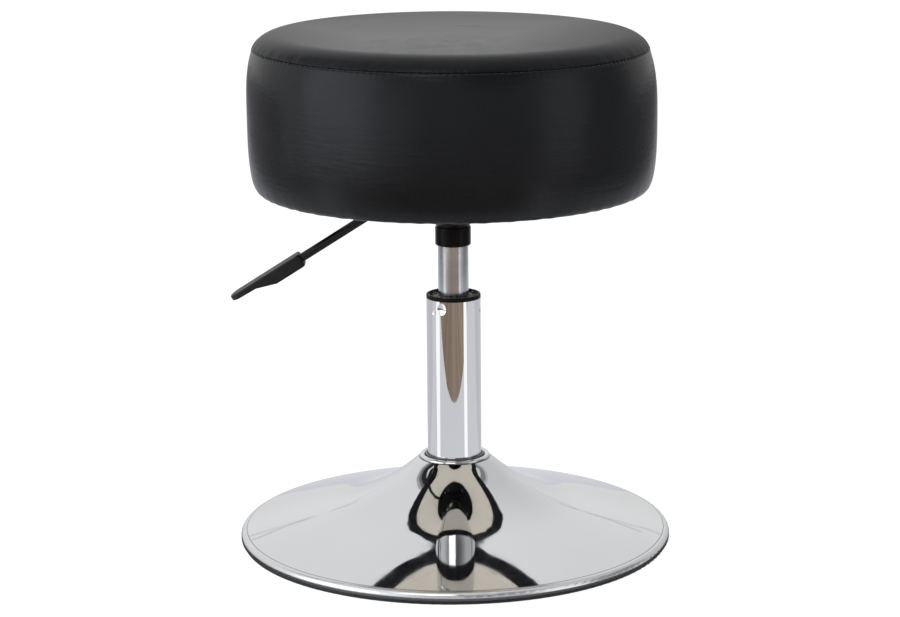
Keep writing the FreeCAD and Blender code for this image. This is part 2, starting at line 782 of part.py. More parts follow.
# Hub tube with a rounded shoulder, a groove and a collar welded to the bracket; bracket and seat plate
lever_axis = f"({pin_top} + dims.part_gap + dims.lever_diameter / 2)"
seat_plate_low = f"({lever_axis} + dims.lever_diameter / 2 + dims.lever_lift)"
seat_plate_top = f"({seat_plate_low} + dims.seat_plate_sheet)"
bracket_low = f"({seat_plate_low} - dims.bracket_depth)"
hub_bore = f"({cylinder_radius} + dims.press_gap)"
hub_top = f"({cone_top} + dims.hub_over)"
hub_groove = f"({hub_low} + dims.hub_length)"
turn_body("hub_tube", [
    (hub_bore, hub_low),
    ("dims.hub_radius - dims.hub_chamfer", hub_low),
    ("dims.hub_radius", f"{hub_low} + dims.hub_chamfer"),
    ("dims.hub_radius", f"{hub_groove} - dims.hub_shoulder"),
    ("arc", ("dims.hub_radius - dims.hub_shoulder", hub_groove), "dims.hub_shoulder", 1),
    ("dims.hub_radius - dims.hub_shoulder", f"{hub_groove} + dims.hub_groove"),
    ("curve",
     ("dims.collar_radius", f"{hub_groove} + dims.hub_groove"),
     ("dims.collar_radius", f"{bracket_low} - dims.weld_height"),
     ("dims.hub_radius + dims.weld_width", bracket_low)),
    ("dims.hub_radius", bracket_low),
    ("dims.hub_radius", hub_top),
    (f"{hub_bore} - dims.wedge_slope * (dims.cone_length + dims.hub_over)", hub_top),
])

bracket = new_body("lever_bracket")
bracket_sketch = new_sketch(bracket, "bracket_outline", "YZ_Plane")
half_width = "(dims.bracket_width / 2)"
half_inner = f"({half_width} - dims.bracket_sheet)"
inner_bend = "(dims.bracket_bend - dims.bracket_sheet)"
bracket_floor = f"({bracket_low} + dims.bracket_sheet)"
draw(bracket_sketch, [
    (f"-{half_width} + dims.bracket_bend", bracket_low),
    (f"{half_width} - dims.bracket_bend", bracket_low),
    ("arc", (half_width, f"{bracket_low} + dims.bracket_bend"), "dims.bracket_bend", 1),
    (half_width, seat_plate_low),
    (half_inner, seat_plate_low),
    (half_inner, f"{bracket_floor} + {inner_bend}"),
    ("arc", (f"{half_inner} - {inner_bend}", bracket_floor), inner_bend, -1),
    (f"-{half_inner} + {inner_bend}", bracket_floor),
    ("arc", (f"-{half_inner}", f"{bracket_floor} + {inner_bend}"), inner_bend, -1),
    (f"-{half_inner}", seat_plate_low),
    (f"-{half_width}", seat_plate_low),
    (f"-{half_width}", f"{bracket_low} + dims.bracket_bend"),
    ("arc", (f"-{half_width} + dims.bracket_bend", bracket_low), "dims.bracket_bend", 1),
])
pad(bracket, "bracket_channel", bracket_sketch, "dims.bracket_length", midplane=True)
hub_hole = new_sketch(bracket, "hub_hole", "XY_Plane", bracket_low)
draw_circle(hub_hole, ("0", "0"), "dims.hub_radius + dims.press_gap")
pocket(bracket, "hub_opening", hub_hole, "4 * dims.bracket_sheet", midplane=True)
pin_hole = new_sketch(bracket, "pin_hole", "XZ_Plane")
draw_circle(pin_hole, ("-dims.pivot_reach", lever_axis), "dims.pivot_diameter / 2 + dims.press_gap")
pocket(bracket, "pin_holes", pin_hole, "2 * dims.bracket_width", midplane=True)
nodes["lever_bracket"] = bracket

bolt_place = ("dims.bolt_square / 2", "dims.bolt_square / 2")
seat_plate = new_body("seat_plate")
plate_sketch = new_sketch(seat_plate, "plate_outline", "XY_Plane", seat_plate_low)
draw_circle(plate_sketch, ("0", "0"), "dims.plate_diameter / 2")
pad(seat_plate, "plate_sheet", plate_sketch, "dims.seat_plate_sheet")
round_edges(
    seat_plate,
    "plate_lower_edge",
    lambda edge: edge.BoundBox.ZMax < size(seat_plate_low) + size("dims.plate_edge") / 2,
    "dims.plate_edge",
)
bolt_hole_sketch = new_sketch(seat_plate, "bolt_hole", "XY_Plane", seat_plate_low)
draw_circle(bolt_hole_sketch, bolt_place, "dims.bolt_diameter / 2 + dims.part_gap")
bolt_cut = "4 * dims.seat_plate_sheet"
bolt_hole = pocket(seat_plate, "bolt_hole_cut", bolt_hole_sketch, bolt_cut, midplane=True)
four_around(seat_plate, "bolt_holes", [bolt_hole])
nodes["seat_plate"] = seat_plate

# Pivot pin through the bracket, headed at the back and clipped at the front
pivot_radius = "(dims.pivot_diameter / 2)"
pivot_pin = new_body("pivot_pin")
pivot_spot = ("-dims.pivot_reach", lever_axis)
pin_sketch = new_sketch(pivot_pin, "pin_round", "XZ_Plane")
draw_circle(pin_sketch, pivot_spot, pivot_radius)
pad(pivot_pin, "pin_shank", pin_sketch, "dims.bracket_width + 2 * dims.pivot_over", midplane=True)
head_sketch = new_sketch(pivot_pin, "pin_head", "XZ_Plane", "-(dims.bracket_width / 2 + dims.press_gap)")
draw_circle(head_sketch, pivot_spot, f"{pivot_radius} + dims.pivot_head_over")
pad(pivot_pin, "pin_head_disc", head_sketch, "dims.pivot_head_height", reverse=True)
nodes["pivot_pin"] = pivot_pin

pivot_clip = new_body("pivot_clip")
clip_sketch = new_sketch(pivot_clip, "clip_ring", "XZ_Plane", "dims.bracket_width / 2 + dims.press_gap")
draw_circle(clip_sketch, pivot_spot, f"{pivot_radius} + dims.pivot_clip_over")
draw_circle(clip_sketch, pivot_spot, f"{pivot_radius} + dims.press_gap")
pad(pivot_clip, "clip_disc", clip_sketch, "dims.pivot_clip_sheet")
nodes["pivot_clip"] = pivot_clip

# Bolts, washers and flanged nuts that hold the plate to the board
board_low = f"({seat_plate_top} + dims.cloth_sheet)"
board_top = f"({board_low} + dims.board_sheet)"
washer_bottom = f"({seat_plate_low} - dims.press_gap - dims.washer_sheet)"
head_top = f"({washer_bottom} - dims.press_gap)"
bolt_radius = "(dims.bolt_diameter / 2)"

bolts = new_body("seat_bolts")
shank_sketch = new_sketch(bolts, "bolt_round", "XY_Plane", head_top)
draw_circle(shank_sketch, bolt_place, bolt_radius)
shank = pad(bolts, "bolt_shank", shank_sketch, "dims.bolt_length")
hex_sketch = new_sketch(bolts, "bolt_hex", "XY_Plane", head_top)
hex_reach = "(dims.head_across / sqrt(3))"
hex_corners = []
for corner in range(6):
    across = f"{bolt_place[0]} + {hex_reach} * cos({60 * corner} deg)"
    along = f"{bolt_place[1]} + {hex_reach} * sin({60 * corner} deg)"
    hex_corners.append((across, along))
draw(hex_sketch, hex_corners)
hex_head = pad(bolts, "bolt_head", hex_sketch, "dims.head_height", reverse=True)
four_around(bolts, "bolt_set", [shank, hex_head])
nodes["seat_bolts"] = bolts

washers = new_body("seat_washers")
washer_sketch = new_sketch(washers, "washer_ring", "XY_Plane", washer_bottom)
draw_circle(washer_sketch, bolt_place, "dims.washer_radius")
draw_circle(washer_sketch, bolt_place, f"{bolt_radius} + dims.part_gap")
washer = pad(washers, "washer_disc", washer_sketch, "dims.washer_sheet")
four_around(washers, "washer_set", [washer])
nodes["seat_washers"] = washers

nut_bore = f"({bolt_radius} + dims.press_gap)"
nuts = new_body("seat_nuts")
barrel_low = f"({board_top} - dims.nut_flange - dims.board_sheet / 2)"
barrel_sketch = new_sketch(nuts, "nut_round", "XY_Plane", barrel_low)
draw_circle(barrel_sketch, bolt_place, "dims.nut_barrel")
draw_circle(barrel_sketch, bolt_place, nut_bore)
nut_barrel = pad(nuts, "nut_barrel", barrel_sketch, "dims.board_sheet / 2 + dims.nut_flange")
flange_sketch = new_sketch(nuts, "nut_disc", "XY_Plane", f"{board_top} - dims.nut_flange")
draw_circle(flange_sketch, bolt_place, "dims.nut_radius")
draw_circle(flange_sketch, bolt_place, nut_bore)
nut_flange = pad(nuts, "nut_flange", flange_sketch, "dims.nut_flange")
four_around(nuts, "nut_set", [nut_barrel, nut_flange])
nodes["seat_nuts"] = nuts

# Plywood board inside the cushion's edge, with holes and flush recesses for the nuts
seat_radius = "(dims.seat_diameter / 2)"
board_radius = f"({seat_radius} - dims.foam_edge)"
board = new_body("seat_board")
board_sketch = new_sketch(board, "board_round", "XY_Plane", board_low)
draw_circle(board_sketch, ("0", "0"), board_radius)
pad(board, "board_disc", board_sketch, "dims.board_sheet")
hole_sketch = new_sketch(board, "nut_hole", "XY_Plane", f"({board_low} + {board_top}) / 2")
draw_circle(hole_sketch, bolt_place, "dims.nut_barrel + dims.press_gap")
nut_hole = pocket(board, "nut_hole_cut", hole_sketch, "2 * dims.board_sheet", midplane=True)
recess_sketch = new_sketch(board, "nut_recess", "XY_Plane", board_top)
draw_circle(recess_sketch, bolt_place, "dims.nut_radius + dims.press_gap")
recess_cut = "2 * (dims.nut_flange + dims.press_gap)"
nut_recess = pocket(board, "nut_recess_cut", recess_sketch, recess_cut, midplane=True)
four_around(board, "nut_holes", [nut_hole, nut_recess])
nodes["seat_board"] = board

# Cushion outline: crowned top, drawn-in seam, top-stitched strip, full side and round lower corner
seat_low = f"({board_low} - dims.cover_sheet - dims.cloth_sheet)"
crown = f"({seat_low} + dims.seat_height)"
seam = (f"{seat_radius} - dims.seam_inset", f"{crown} - dims.seam_drop")
stitch = (f"{seat_radius} - dims.stitch_inset", f"{crown} - dims.stitch_drop")
waist = f"({crown} - dims.waist_drop)"
hem_low = f"({board_low} - dims.cover_sheet)"
crown_start = ("0", crown, "0", "dims.crown_pull")
crown_end = (seam[0], seam[1], "-dims.seam_slope", "dims.seam_pull")
side_start = (stitch[0], stitch[1], "-dims.side_slope", "dims.side_pull")
side_end = (seat_radius, waist, "-90", "dims.waist_pull")
corner_start = (seat_radius, waist, "-90", "dims.corner_pull")
corner_end = (f"{seat_radius} - dims.corner_inset", hem_low, "-180", "dims.hem_pull")


def skin(inset):
    """Crown, side and lower corner curves of the cushion, moved inwards."""
    return [
        bend(crown_start, crown_end, inset),
        bend(side_start, side_end, inset),
        bend(corner_start, corner_end, inset),
    ]


outer_crown, outer_side, outer_corner = skin("0")
inner_crown, inner_side, inner_corner = skin("dims.cover_sheet")
foam_crown, foam_side, foam_corner = skin("(dims.cover_sheet + dims.part_gap)")

# Top cover: a round panel, its edge turned down into the seam
turn_body("top_panel", [
    ("0", crown),
    ("curve", outer_crown[1], outer_crown[2], outer_crown[3]),
    (f"{seam[0]} - dims.cover_sheet * 0.4", f"{seam[1]} - dims.seam_depth * 1.4"),
    inner_crown[3],
    ("curve", inner_crown[2], inner_crown[1], ("0", f"{crown} - dims.cover_sheet")),
])

# Side cover: a band from the seam to its hem under the board
band_top = (f"{seam[0]} + dims.seam_gap", f"{seam[1]} - dims.seam_depth * 1.5")
hem_inner = f"({board_radius} - dims.hem_width)"
turn_body("side_band", [
    band_top,
    ("arc", stitch, "dims.strip_round", -1),
    ("curve", outer_side[1], outer_side[2], outer_side[3]),
    ("curve", outer_corner[1], outer_corner[2], outer_corner[3]),
    (hem_inner, hem_low),
    (hem_inner, f"{hem_low} + dims.cover_sheet - dims.press_gap"),
    (inner_corner[3][0], f"{hem_low} + dims.cover_sheet - dims.press_gap"),
    ("curve", inner_corner[2], inner_corner[1], inner_corner[0]),
    ("curve", inner_side[2], inner_side[1], inner_side[0]),
    (f"{band_top[0]} - dims.cover_sheet", f"{band_top[1]} - 2 * dims.seam_gap"),
])

# Foam block that fills the cover and wraps the board's edge
foam_inner = f"({board_radius} + dims.part_gap)"
foam_low = f"({board_low} + dims.press_gap)"
turn_body("seat_foam", [
    ("0", f"{board_top} + dims.press_gap"),
    (foam_inner, f"{board_top} + dims.press_gap"),
    (foam_inner, f"{foam_low} + dims.part_gap"),
    (foam_corner[3][0], f"{foam_low} + dims.part_gap"),
    ("curve", foam_corner[2], foam_corner[1], foam_corner[0]),
    ("curve", foam_side[2], foam_side[1], foam_side[0]),
    (f"{foam_crown[3][0]} - dims.foam_step_in", f"{foam_crown[3][1]} - dims.foam_step_down"),
    foam_crown[3],
    ("curve", foam_crown[2], foam_crown[1], ("0", f"{crown} - dims.cover_sheet - dims.part_gap")),
])

# Dust cloth: flat against the board in the middle, lower where it covers the hem
cloth_step = f"({hem_inner} - dims.cloth_ease)"
cloth_radius = f"({board_radius} - dims.cloth_inset)"
cloth = turn_body("dust_cloth", [
    ("0", seat_plate_top),
    (f"{cloth_step} - dims.cloth_sheet", seat_plate_top),
    (f"{cloth_step} - dims.cloth_sheet", seat_low),
    (cloth_radius, seat_low),
    (cloth_radius, f"{hem_low} - dims.press_gap"),
    (cloth_step, f"{hem_low} - dims.press_gap"),
    (cloth_step, f"{board_low} - dims.press_gap"),
    ("0", f"{board_low} - dims.press_gap"),
])
cloth_sketch = new_sketch(cloth, "cloth_hole", "XY_Plane", seat_plate_top)
draw_circle(cloth_sketch, bolt_place, "dims.nut_barrel + dims.press_gap")
cloth_hole = pocket(cloth, "cloth_hole_cut", cloth_sketch, "4 * dims.cloth_sheet", midplane=True)
four_around(cloth, "cloth_holes", [cloth_hole])


# Release lever: bent rod with a cross barrel, in a plane through the axis
def lever_point(out, above):
    """Point on the sloping part: out from the pivot along the rod, above it square to the rod."""
    flat = "cos(dims.lever_slope * 1 deg)"
    steep = "sin(dims.lever_slope * 1 deg)"
    return (
        f"-dims.pivot_reach - ({out}) * {flat} - ({above}) * {steep}",
        f"{lever_axis} - ({out}) * {steep} + ({above}) * {flat}",
    )


lever_radius = "(dims.lever_diameter / 2)"
bend_tangent = "(dims.lever_bend * tan(dims.lever_slope / 2 * 1 deg))"
lever = new_body("lever_rod")
path = new_sketch(lever, "lever_path", "XZ_Plane")
draw(path, [
    ("dims.lever_inner", lever_axis),
    (f"-dims.pivot_reach + {bend_tangent}", lever_axis),
    ("arc", lever_point(bend_tangent, "0"), "dims.lever_bend", 1),
    lever_point("dims.lever_length + dims.handle_grip", "0"),
], closed=False)
rod_sketch = new_sketch(lever, "lever_round", "YZ_Plane", "dims.lever_inner")
draw_circle(rod_sketch, ("0", lever_axis), lever_radius)
sweep = lever.newObject("PartDesign::AdditivePipe", "lever_sweep")
sweep.Profile = rod_sketch
sweep.Spine = path
barrel_round = new_sketch(lever, "barrel_round", "XZ_Plane")
draw_circle(barrel_round, pivot_spot, "dims.barrel_radius")
barrel_length = "(dims.bracket_width - 2 * dims.bracket_sheet - 2 * dims.part_gap)"
pad(lever, "barrel", barrel_round, barrel_length, midplane=True)
barrel_bore = new_sketch(lever, "barrel_bore", "XZ_Plane")
draw_circle(barrel_bore, pivot_spot, f"{pivot_radius} + dims.run_gap")
pocket(lever, "barrel_hole", barrel_bore, "2 * dims.bracket_width", midplane=True)
nodes["lever_rod"] = lever

# Paddle handle: thick grip over the rod, ramp, and a thin rounded tongue flush with the top
grip = new_body("handle_blank")
grip_sketch = new_sketch(grip, "handle_side", "XZ_Plane")
handle_start = "dims.lever_length"
ramp_start = "(dims.lever_length + dims.handle_body)"
ramp_end = f"({ramp_start} + dims.handle_ramp)"
handle_end = "(dims.lever_length + dims.handle_length)"
tongue_low = "(dims.handle_above - dims.handle_tongue)"
draw(grip_sketch, [
    lever_point(handle_start, "dims.handle_above"),
    lever_point(handle_end, "dims.handle_above"),
    lever_point(handle_end, f"{tongue_low} + dims.tongue_taper"),
    lever_point(ramp_end, tongue_low),
    lever_point(ramp_start, "-dims.handle_below"),
    lever_point(handle_start, "-dims.handle_below"),
])
pad(grip, "handle_block", grip_sketch, "dims.handle_width", midplane=True)
doc.recompute()
tip_x = size(lever_point(handle_end, "dims.handle_above")[0])
root_x = size(lever_point(handle_start, "dims.handle_above")[0])
slope = math.radians(size("dims.lever_slope"))


def square_to_rod(edge):
    way = edge.tangentAt(edge.FirstParameter)
    return abs(way.x * math.sin(slope) - way.z * math.cos(slope)) > 0.99 and abs(way.y) < 0.01


round_edges(
    grip,
    "handle_tip",
    lambda edge: square_to_rod(edge) and edge.CenterOfMass.x < (tip_x + root_x) / 2,
    "dims.handle_width / 2 - dims.tip_flat",
)
round_edges(
    grip,
    "handle_root",
    lambda edge: square_to_rod(edge) and edge.CenterOfMass.x > (tip_x + root_x) / 2,
    "dims.root_round",
)
doc.recompute()


def on_broad_face(edge):
    """Edges that run round the top and bottom faces."""
    middle = edge.valueAt((edge.FirstParameter + edge.LastParameter) / 2)
    return not square_to_rod(edge) and abs(middle.y) > 0.2


round_edges(grip, "handle_softened", on_broad_face, "dims.handle_edge")
rod_hole = doc.addObject("Part::Cylinder", "rod_hole")
bind(rod_hole, "Radius", f"{lever_radius} + dims.press_gap")
bind(rod_hole, "Height", "dims.handle_grip + 2 * dims.part_gap")
rod_hole.Placement = Placement(Vector(0, 0, 0), Rotation(Vector(0, 1, 0), 270))
hole_start = lever_point(f"{handle_start} - dims.part_gap", "0")
bind(rod_hole, "Placement.Base.x", hole_start[0])
bind(rod_hole, "Placement.Base.z", hole_start[1])
bind(rod_hole, "Placement.Rotation.Angle", "270 deg - dims.lever_slope * 1 deg")
handle = doc.addObject("Part::Cut", "lever_handle")
handle.Base = grip
handle.Tool = rod_hole
nodes["lever_handle"] = handle

# Check every object, then write one file for each piece
doc.recompute()
for item in doc.Objects:
    if "Invalid" in item.State or "Error" in item.State:
        raise RuntimeError(f"{item.Name} failed: {item.State}")
os.makedirs("parts", exist_ok=True)
for name, item in nodes.items():
    item.Label = name
    if item.Shape.isNull() or not item.Shape.isValid():
        raise RuntimeError(f"{name} has no valid shape")
for name, item in nodes.items():
    item.Shape.exportStep(f"parts/{name}.step")
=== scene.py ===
import math

import bpy
import numpy as np
from mathutils import Matrix, Vector


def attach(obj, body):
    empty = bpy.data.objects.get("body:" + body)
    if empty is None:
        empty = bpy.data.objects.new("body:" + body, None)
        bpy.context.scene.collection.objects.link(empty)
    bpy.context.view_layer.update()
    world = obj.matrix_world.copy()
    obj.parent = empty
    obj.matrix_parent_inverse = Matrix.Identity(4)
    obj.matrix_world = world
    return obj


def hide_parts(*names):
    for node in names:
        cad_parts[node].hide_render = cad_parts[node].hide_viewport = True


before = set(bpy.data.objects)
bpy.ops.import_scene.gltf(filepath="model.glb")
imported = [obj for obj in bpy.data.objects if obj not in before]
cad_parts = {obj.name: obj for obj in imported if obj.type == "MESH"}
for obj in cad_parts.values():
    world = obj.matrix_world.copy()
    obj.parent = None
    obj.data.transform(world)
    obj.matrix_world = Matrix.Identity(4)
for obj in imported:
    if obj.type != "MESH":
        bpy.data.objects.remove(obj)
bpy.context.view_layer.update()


# Floor ring. A moulded black rubber ring pushed up inside the rolled rim of the base, so that
# the steel stands on rubber. Its surface is matt, with faint lighter clouds.
noise_low, noise_high = 0.3, 0.7  # nearly all values of a noise texture lie between these


def shader_of(finish):
    """The shader that every finish of a piece starts with."""
    return finish.node_tree.nodes["Principled BSDF"]


def new_finish(name, colour, roughness, metallic=0.0):
    """A surface finish, ready for the detail of one material."""
    finish = bpy.data.materials.new(name)
    finish.use_nodes = True
    shader = shader_of(finish)
    shader.inputs["Base Color"].default_value = (*colour, 1)
    shader.inputs["Roughness"].default_value = roughness
    shader.inputs["Metallic"].default_value = metallic
    return finish


def speckle(finish, size, stretch=(1, 1, 1), detail=4):
    """Noise fixed to the piece, with spots of about this size in metres."""
    tree = finish.node_tree
    place = tree.nodes.new("ShaderNodeTexCoord")
    shape = tree.nodes.new("ShaderNodeMapping")
    shape.inputs["Scale"].default_value = stretch
    noise = tree.nodes.new("ShaderNodeTexNoise")
    noise.inputs["Scale"].default_value = 1 / size
    noise.inputs["Detail"].default_value = detail
    tree.links.new(place.outputs["Object"], shape.inputs["Vector"])
    tree.links.new(shape.outputs["Vector"], noise.inputs["Vector"])
    return noise.outputs["Fac"]


def spread(finish, source, low, high, start=noise_low, end=noise_high):
    """A value that goes from low to high as the source goes from start to end."""
    tree = finish.node_tree
    step = tree.nodes.new("ShaderNodeMapRange")
    step.inputs["From Min"].default_value = start
    step.inputs["From Max"].default_value = end
    step.inputs["To Min"].default_value = low
    step.inputs["To Max"].default_value = high
    tree.links.new(source, step.inputs["Value"])
    return step.outputs["Result"]


def two_colours(finish, source, dark, light, start=noise_low, end=noise_high):
    """A colour that goes from dark to light as the source goes from start to end."""
    tree = finish.node_tree
    ramp = tree.nodes.new("ShaderNodeValToRGB")
    first, last = ramp.color_ramp.elements
    first.position, last.position = start, end
    first.color, last.color = (*dark, 1), (*light, 1)
    tree.links.new(source, ramp.inputs["Fac"])
    return ramp.outputs["Color"]


def tint(finish, source, dark, light):
    """Base colour that wanders between two colours."""
    colour = two_colours(finish, source, dark, light)
    finish.node_tree.links.new(colour, shader_of(finish).inputs["Base Color"])


def dull(finish, source, low, high):
    """Roughness that wanders between two values."""
    rough = spread(finish, source, low, high)
    finish.node_tree.links.new(rough, shader_of(finish).inputs["Roughness"])


def emboss(finish, source, depth, strength):
    """Fine relief of this depth in metres."""
    tree = finish.node_tree
    relief = tree.nodes.new("ShaderNodeBump")
    relief.inputs["Strength"].default_value = strength
    relief.inputs["Distance"].default_value = depth
    tree.links.new(source, relief.inputs["Height"])
    tree.links.new(relief.outputs["Normal"], shader_of(finish).inputs["Normal"])


def dress(finish, *names):
    """Gives CAD nodes this finish."""
    for name in names:
        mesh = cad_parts[name].data
        mesh.materials.clear()
        mesh.materials.append(finish)


rubber = new_finish("black_rubber", (0.006, 0.006, 0.006), 0.62)
tint(rubber, speckle(rubber, 0.03), (0.004, 0.004, 0.004), (0.009, 0.009, 0.009))
dull(rubber, speckle(rubber, 0.006), 0.55, 0.75)
emboss(rubber, speckle(rubber, 0.0012), 0.00008, 0.5)
dress(rubber, "floor_ring")


# Base shell. A trumpet spun from one steel disc, rolled over at the rim and beaded at the neck,
# then polished and chrome plated, so it mirrors the floor, the seat above it and the room.
# The rolled rim is hazier. Two thin dark lines are painted into its colour: a painted dark
# reflection where the rim turns down and painted shade in the crease below the bead.
def from_axis(finish):
    """Distance from the stool's axis, in metres."""
    tree = finish.node_tree
    place = tree.nodes.new("ShaderNodeTexCoord")
    flat = tree.nodes.new("ShaderNodeVectorMath")
    flat.operation = "MULTIPLY"
    flat.inputs[1].default_value = (1, 1, 0)
    reach = tree.nodes.new("ShaderNodeVectorMath")
    reach.operation = "LENGTH"
    tree.links.new(place.outputs["Object"], flat.inputs[0])
    tree.links.new(flat.outputs["Vector"], reach.inputs[0])
    return reach.outputs["Value"]


def combine(tree, kind, first, second):
    """One value worked out from two, each a number or a node's output."""
    node = tree.nodes.new("ShaderNodeMath")
    node.operation = kind
    for place, value in enumerate((first, second)):
        if isinstance(value, (int, float)):
            node.inputs[place].default_value = value
        else:
            tree.links.new(value, node.inputs[place])
    return node.outputs["Value"]


def ring_line(finish, inner, outer):
    """A thin ring round the axis: 1 on it, fading to 0 across the inner and outer radii."""
    rise = spread(finish, from_axis(finish), 0, 1, *inner)
    fall = spread(finish, from_axis(finish), 1, 0, *outer)
    return combine(finish.node_tree, "MULTIPLY", rise, fall)


def overlay(finish, share, colour):
    """Mixes another colour over the base colour by a share from 0 to 1."""
    tree = finish.node_tree
    base_colour = shader_of(finish).inputs["Base Color"]
    mix = tree.nodes.new("ShaderNodeMix")
    mix.data_type = "RGBA"
    under, over = mix.inputs[6], mix.inputs[7]  # the node's two colours, which share their names
    tree.links.new(share, mix.inputs["Factor"])
    tree.links.new(base_colour.links[0].from_socket, under)
    over.default_value = (*colour, 1)
    tree.links.new(mix.outputs[2], base_colour)


def roughen(finish, least):
    """Raises the roughness to this value where it is lower."""
    tree = finish.node_tree
    rough = shader_of(finish).inputs["Roughness"]
    tree.links.new(combine(tree, "MAXIMUM", rough.links[0].from_socket, least), rough)


rim_fade = (0.193, 0.1952)
rim_roughness = 0.26
chrome = new_finish("chrome_plate", (0.635, 0.64, 0.652), 0.035, 1.0)
tint(chrome, speckle(chrome, 0.12), (0.615, 0.622, 0.636), (0.65, 0.654, 0.664))
dull(chrome, speckle(chrome, 0.02), 0.025, 0.06)
emboss(chrome, speckle(chrome, 0.05, detail=1), 0.0001, 0.03)
roughen(chrome, spread(chrome, from_axis(chrome), 0, rim_roughness, *rim_fade))
# Painted shade: a dark line in the crease just below the neck's bead.
bead_painted_shade = ring_line(chrome, (0.0325, 0.0328), (0.033, 0.0334))
overlay(chrome, bead_painted_shade, (0.06, 0.06, 0.06))
# Painted reflection: a grey line where the rolled rim turns down, for the dark it mirrors there.
rim_painted_reflection = ring_line(chrome, (0.1936, 0.194), (0.1942, 0.1946))
overlay(chrome, rim_painted_reflection, (0.15, 0.15, 0.155))
dress(chrome, "base_shell")


# Socket sleeve. A tapered steel socket pressed up into the neck of the base, where only its top
# edge shows, in dark unpolished steel. Its dark colour is partly painted shade: it stands in for
# the shadow in the gap round the tube's foot.
sleeve_steel_and_shade = new_finish("sleeve_steel_and_shade", (0.12, 0.12, 0.122), 0.25, 1.0)
tint(sleeve_steel_and_shade, speckle(sleeve_steel_and_shade, 0.01), (0.09, 0.09, 0.092), (0.16, 0.16, 0.163))
dull(sleeve_steel_and_shade, speckle(sleeve_steel_and_shade, 0.004), 0.2, 0.35)
dress(sleeve_steel_and_shade, "socket_sleeve")


# Gussets under the base. Four plates cut from hot rolled steel and welded between socket and
# shell. They are left as rolled, dull grey with darker scale, as are the column's end plate and
# the plain parts inside the lift.
scaled_steel = new_finish("rolled_steel", (0.28, 0.28, 0.29), 0.5, 1.0)
tint(scaled_steel, speckle(scaled_steel, 0.02), (0.16, 0.16, 0.17), (0.36, 0.36, 0.37))
dull(scaled_steel, speckle(scaled_steel, 0.008), 0.4, 0.65)
emboss(scaled_steel, speckle(scaled_steel, 0.003), 0.0001, 0.3)
dress(scaled_steel, "socket_gussets", "column_plate", "pressure_tube", "valve_body")


# Column tube. Drawn steel tube, narrowed at its lower end to wedge in the socket and plated
# with the base. Punch dents near its top hold the guide bush.
tube_chrome = new_finish("chrome_tube", (0.635, 0.64, 0.652), 0.04, 1.0)
tube_clouds = speckle(tube_chrome, 0.06, (1, 1, 0.3))
tint(tube_chrome, tube_clouds, (0.61, 0.618, 0.632), (0.65, 0.654, 0.664))
dull(tube_chrome, speckle(tube_chrome, 0.01, (1, 1, 0.2)), 0.014, 0.036)
dress(tube_chrome, "column_tube")


# Thrust bearing on the column's plate. Two hardened and ground steel races with ten balls
# between them, spaced by a white nylon cage. The piston rod is ground like the races, and the
# rod's guide and the valve's pin are of the same nylon.
ground_steel = new_finish("ground_steel", (0.6, 0.6, 0.6), 0.2, 1.0)
dull(ground_steel, speckle(ground_steel, 0.0015), 0.15, 0.3)
tint(ground_steel, speckle(ground_steel, 0.01), (0.52, 0.52, 0.53), (0.62, 0.62, 0.63))
dress(ground_steel, "lower_race", "upper_race", "bearing_balls", "piston_rod")
nylon = new_finish("white_nylon", (0.74, 0.72, 0.66), 0.4)
tint(nylon, speckle(nylon, 0.008), (0.7, 0.67, 0.6), (0.77, 0.75, 0.69))
emboss(nylon, speckle(nylon, 0.0008), 0.00003, 0.3)
dress(nylon, "ball_cage", "rod_guide", "valve_pin")


# Rod parts. The piston rod ends in a spring clip and a washer below the plate and carries a
# rubber bump stop above it; a brass piston with its ring runs in the pressure tube.
zinc = new_finish("zinc_plate", (0.55, 0.55, 0.53), 0.32, 1.0)
tint(zinc, speckle(zinc, 0.004), (0.46, 0.46, 0.45), (0.6, 0.6, 0.57))
dull(zinc, speckle(zinc, 0.002), 0.25, 0.45)
dress(zinc, "rod_clip", "clip_washer")
brass = new_finish("turned_brass", (0.7, 0.5, 0.22), 0.3, 1.0)
dull(brass, speckle(brass, 0.002, (1, 1, 8)), 0.2, 0.4)
dress(brass, "piston")
seal_rubber = new_finish("seal_rubber", (0.015, 0.015, 0.015), 0.5)
dull(seal_rubber, speckle(seal_rubber, 0.002), 0.4, 0.6)
dress(seal_rubber, "bump_stop", "piston_ring", "rod_seal", "valve_seal")


# Guide bush. An injection moulded black cap on the tube's top end: a rounded rim, a dished top
# with pale flecks and a wiper lip round the cylinder.
def shine(finish, level):
    """Strength of the mirror image on a finish that isn't metal."""
    shader_of(finish).inputs["Specular IOR Level"].default_value = level


cap_plastic = new_finish("cap_plastic", (0.004, 0.004, 0.0042), 0.42)
shine(cap_plastic, 0.08)
tint(cap_plastic, speckle(cap_plastic, 0.01), (0.003, 0.003, 0.0032), (0.0055, 0.0055, 0.0058))
dull(cap_plastic, speckle(cap_plastic, 0.003), 0.34, 0.52)
emboss(cap_plastic, speckle(cap_plastic, 0.0007), 0.00006, 0.5)
dished_top = spread(cap_plastic, from_axis(cap_plastic), 1, 0, 0.0221, 0.0223)
flecks = spread(cap_plastic, speckle(cap_plastic, 0.0024, detail=2), 0, 1, 0.5, 0.6)
top_flecks = combine(cap_plastic.node_tree, "MULTIPLY", dished_top, flecks)
overlay(cap_plastic, top_flecks, (0.4, 0.4, 0.405))
dress(cap_plastic, "guide_bush")


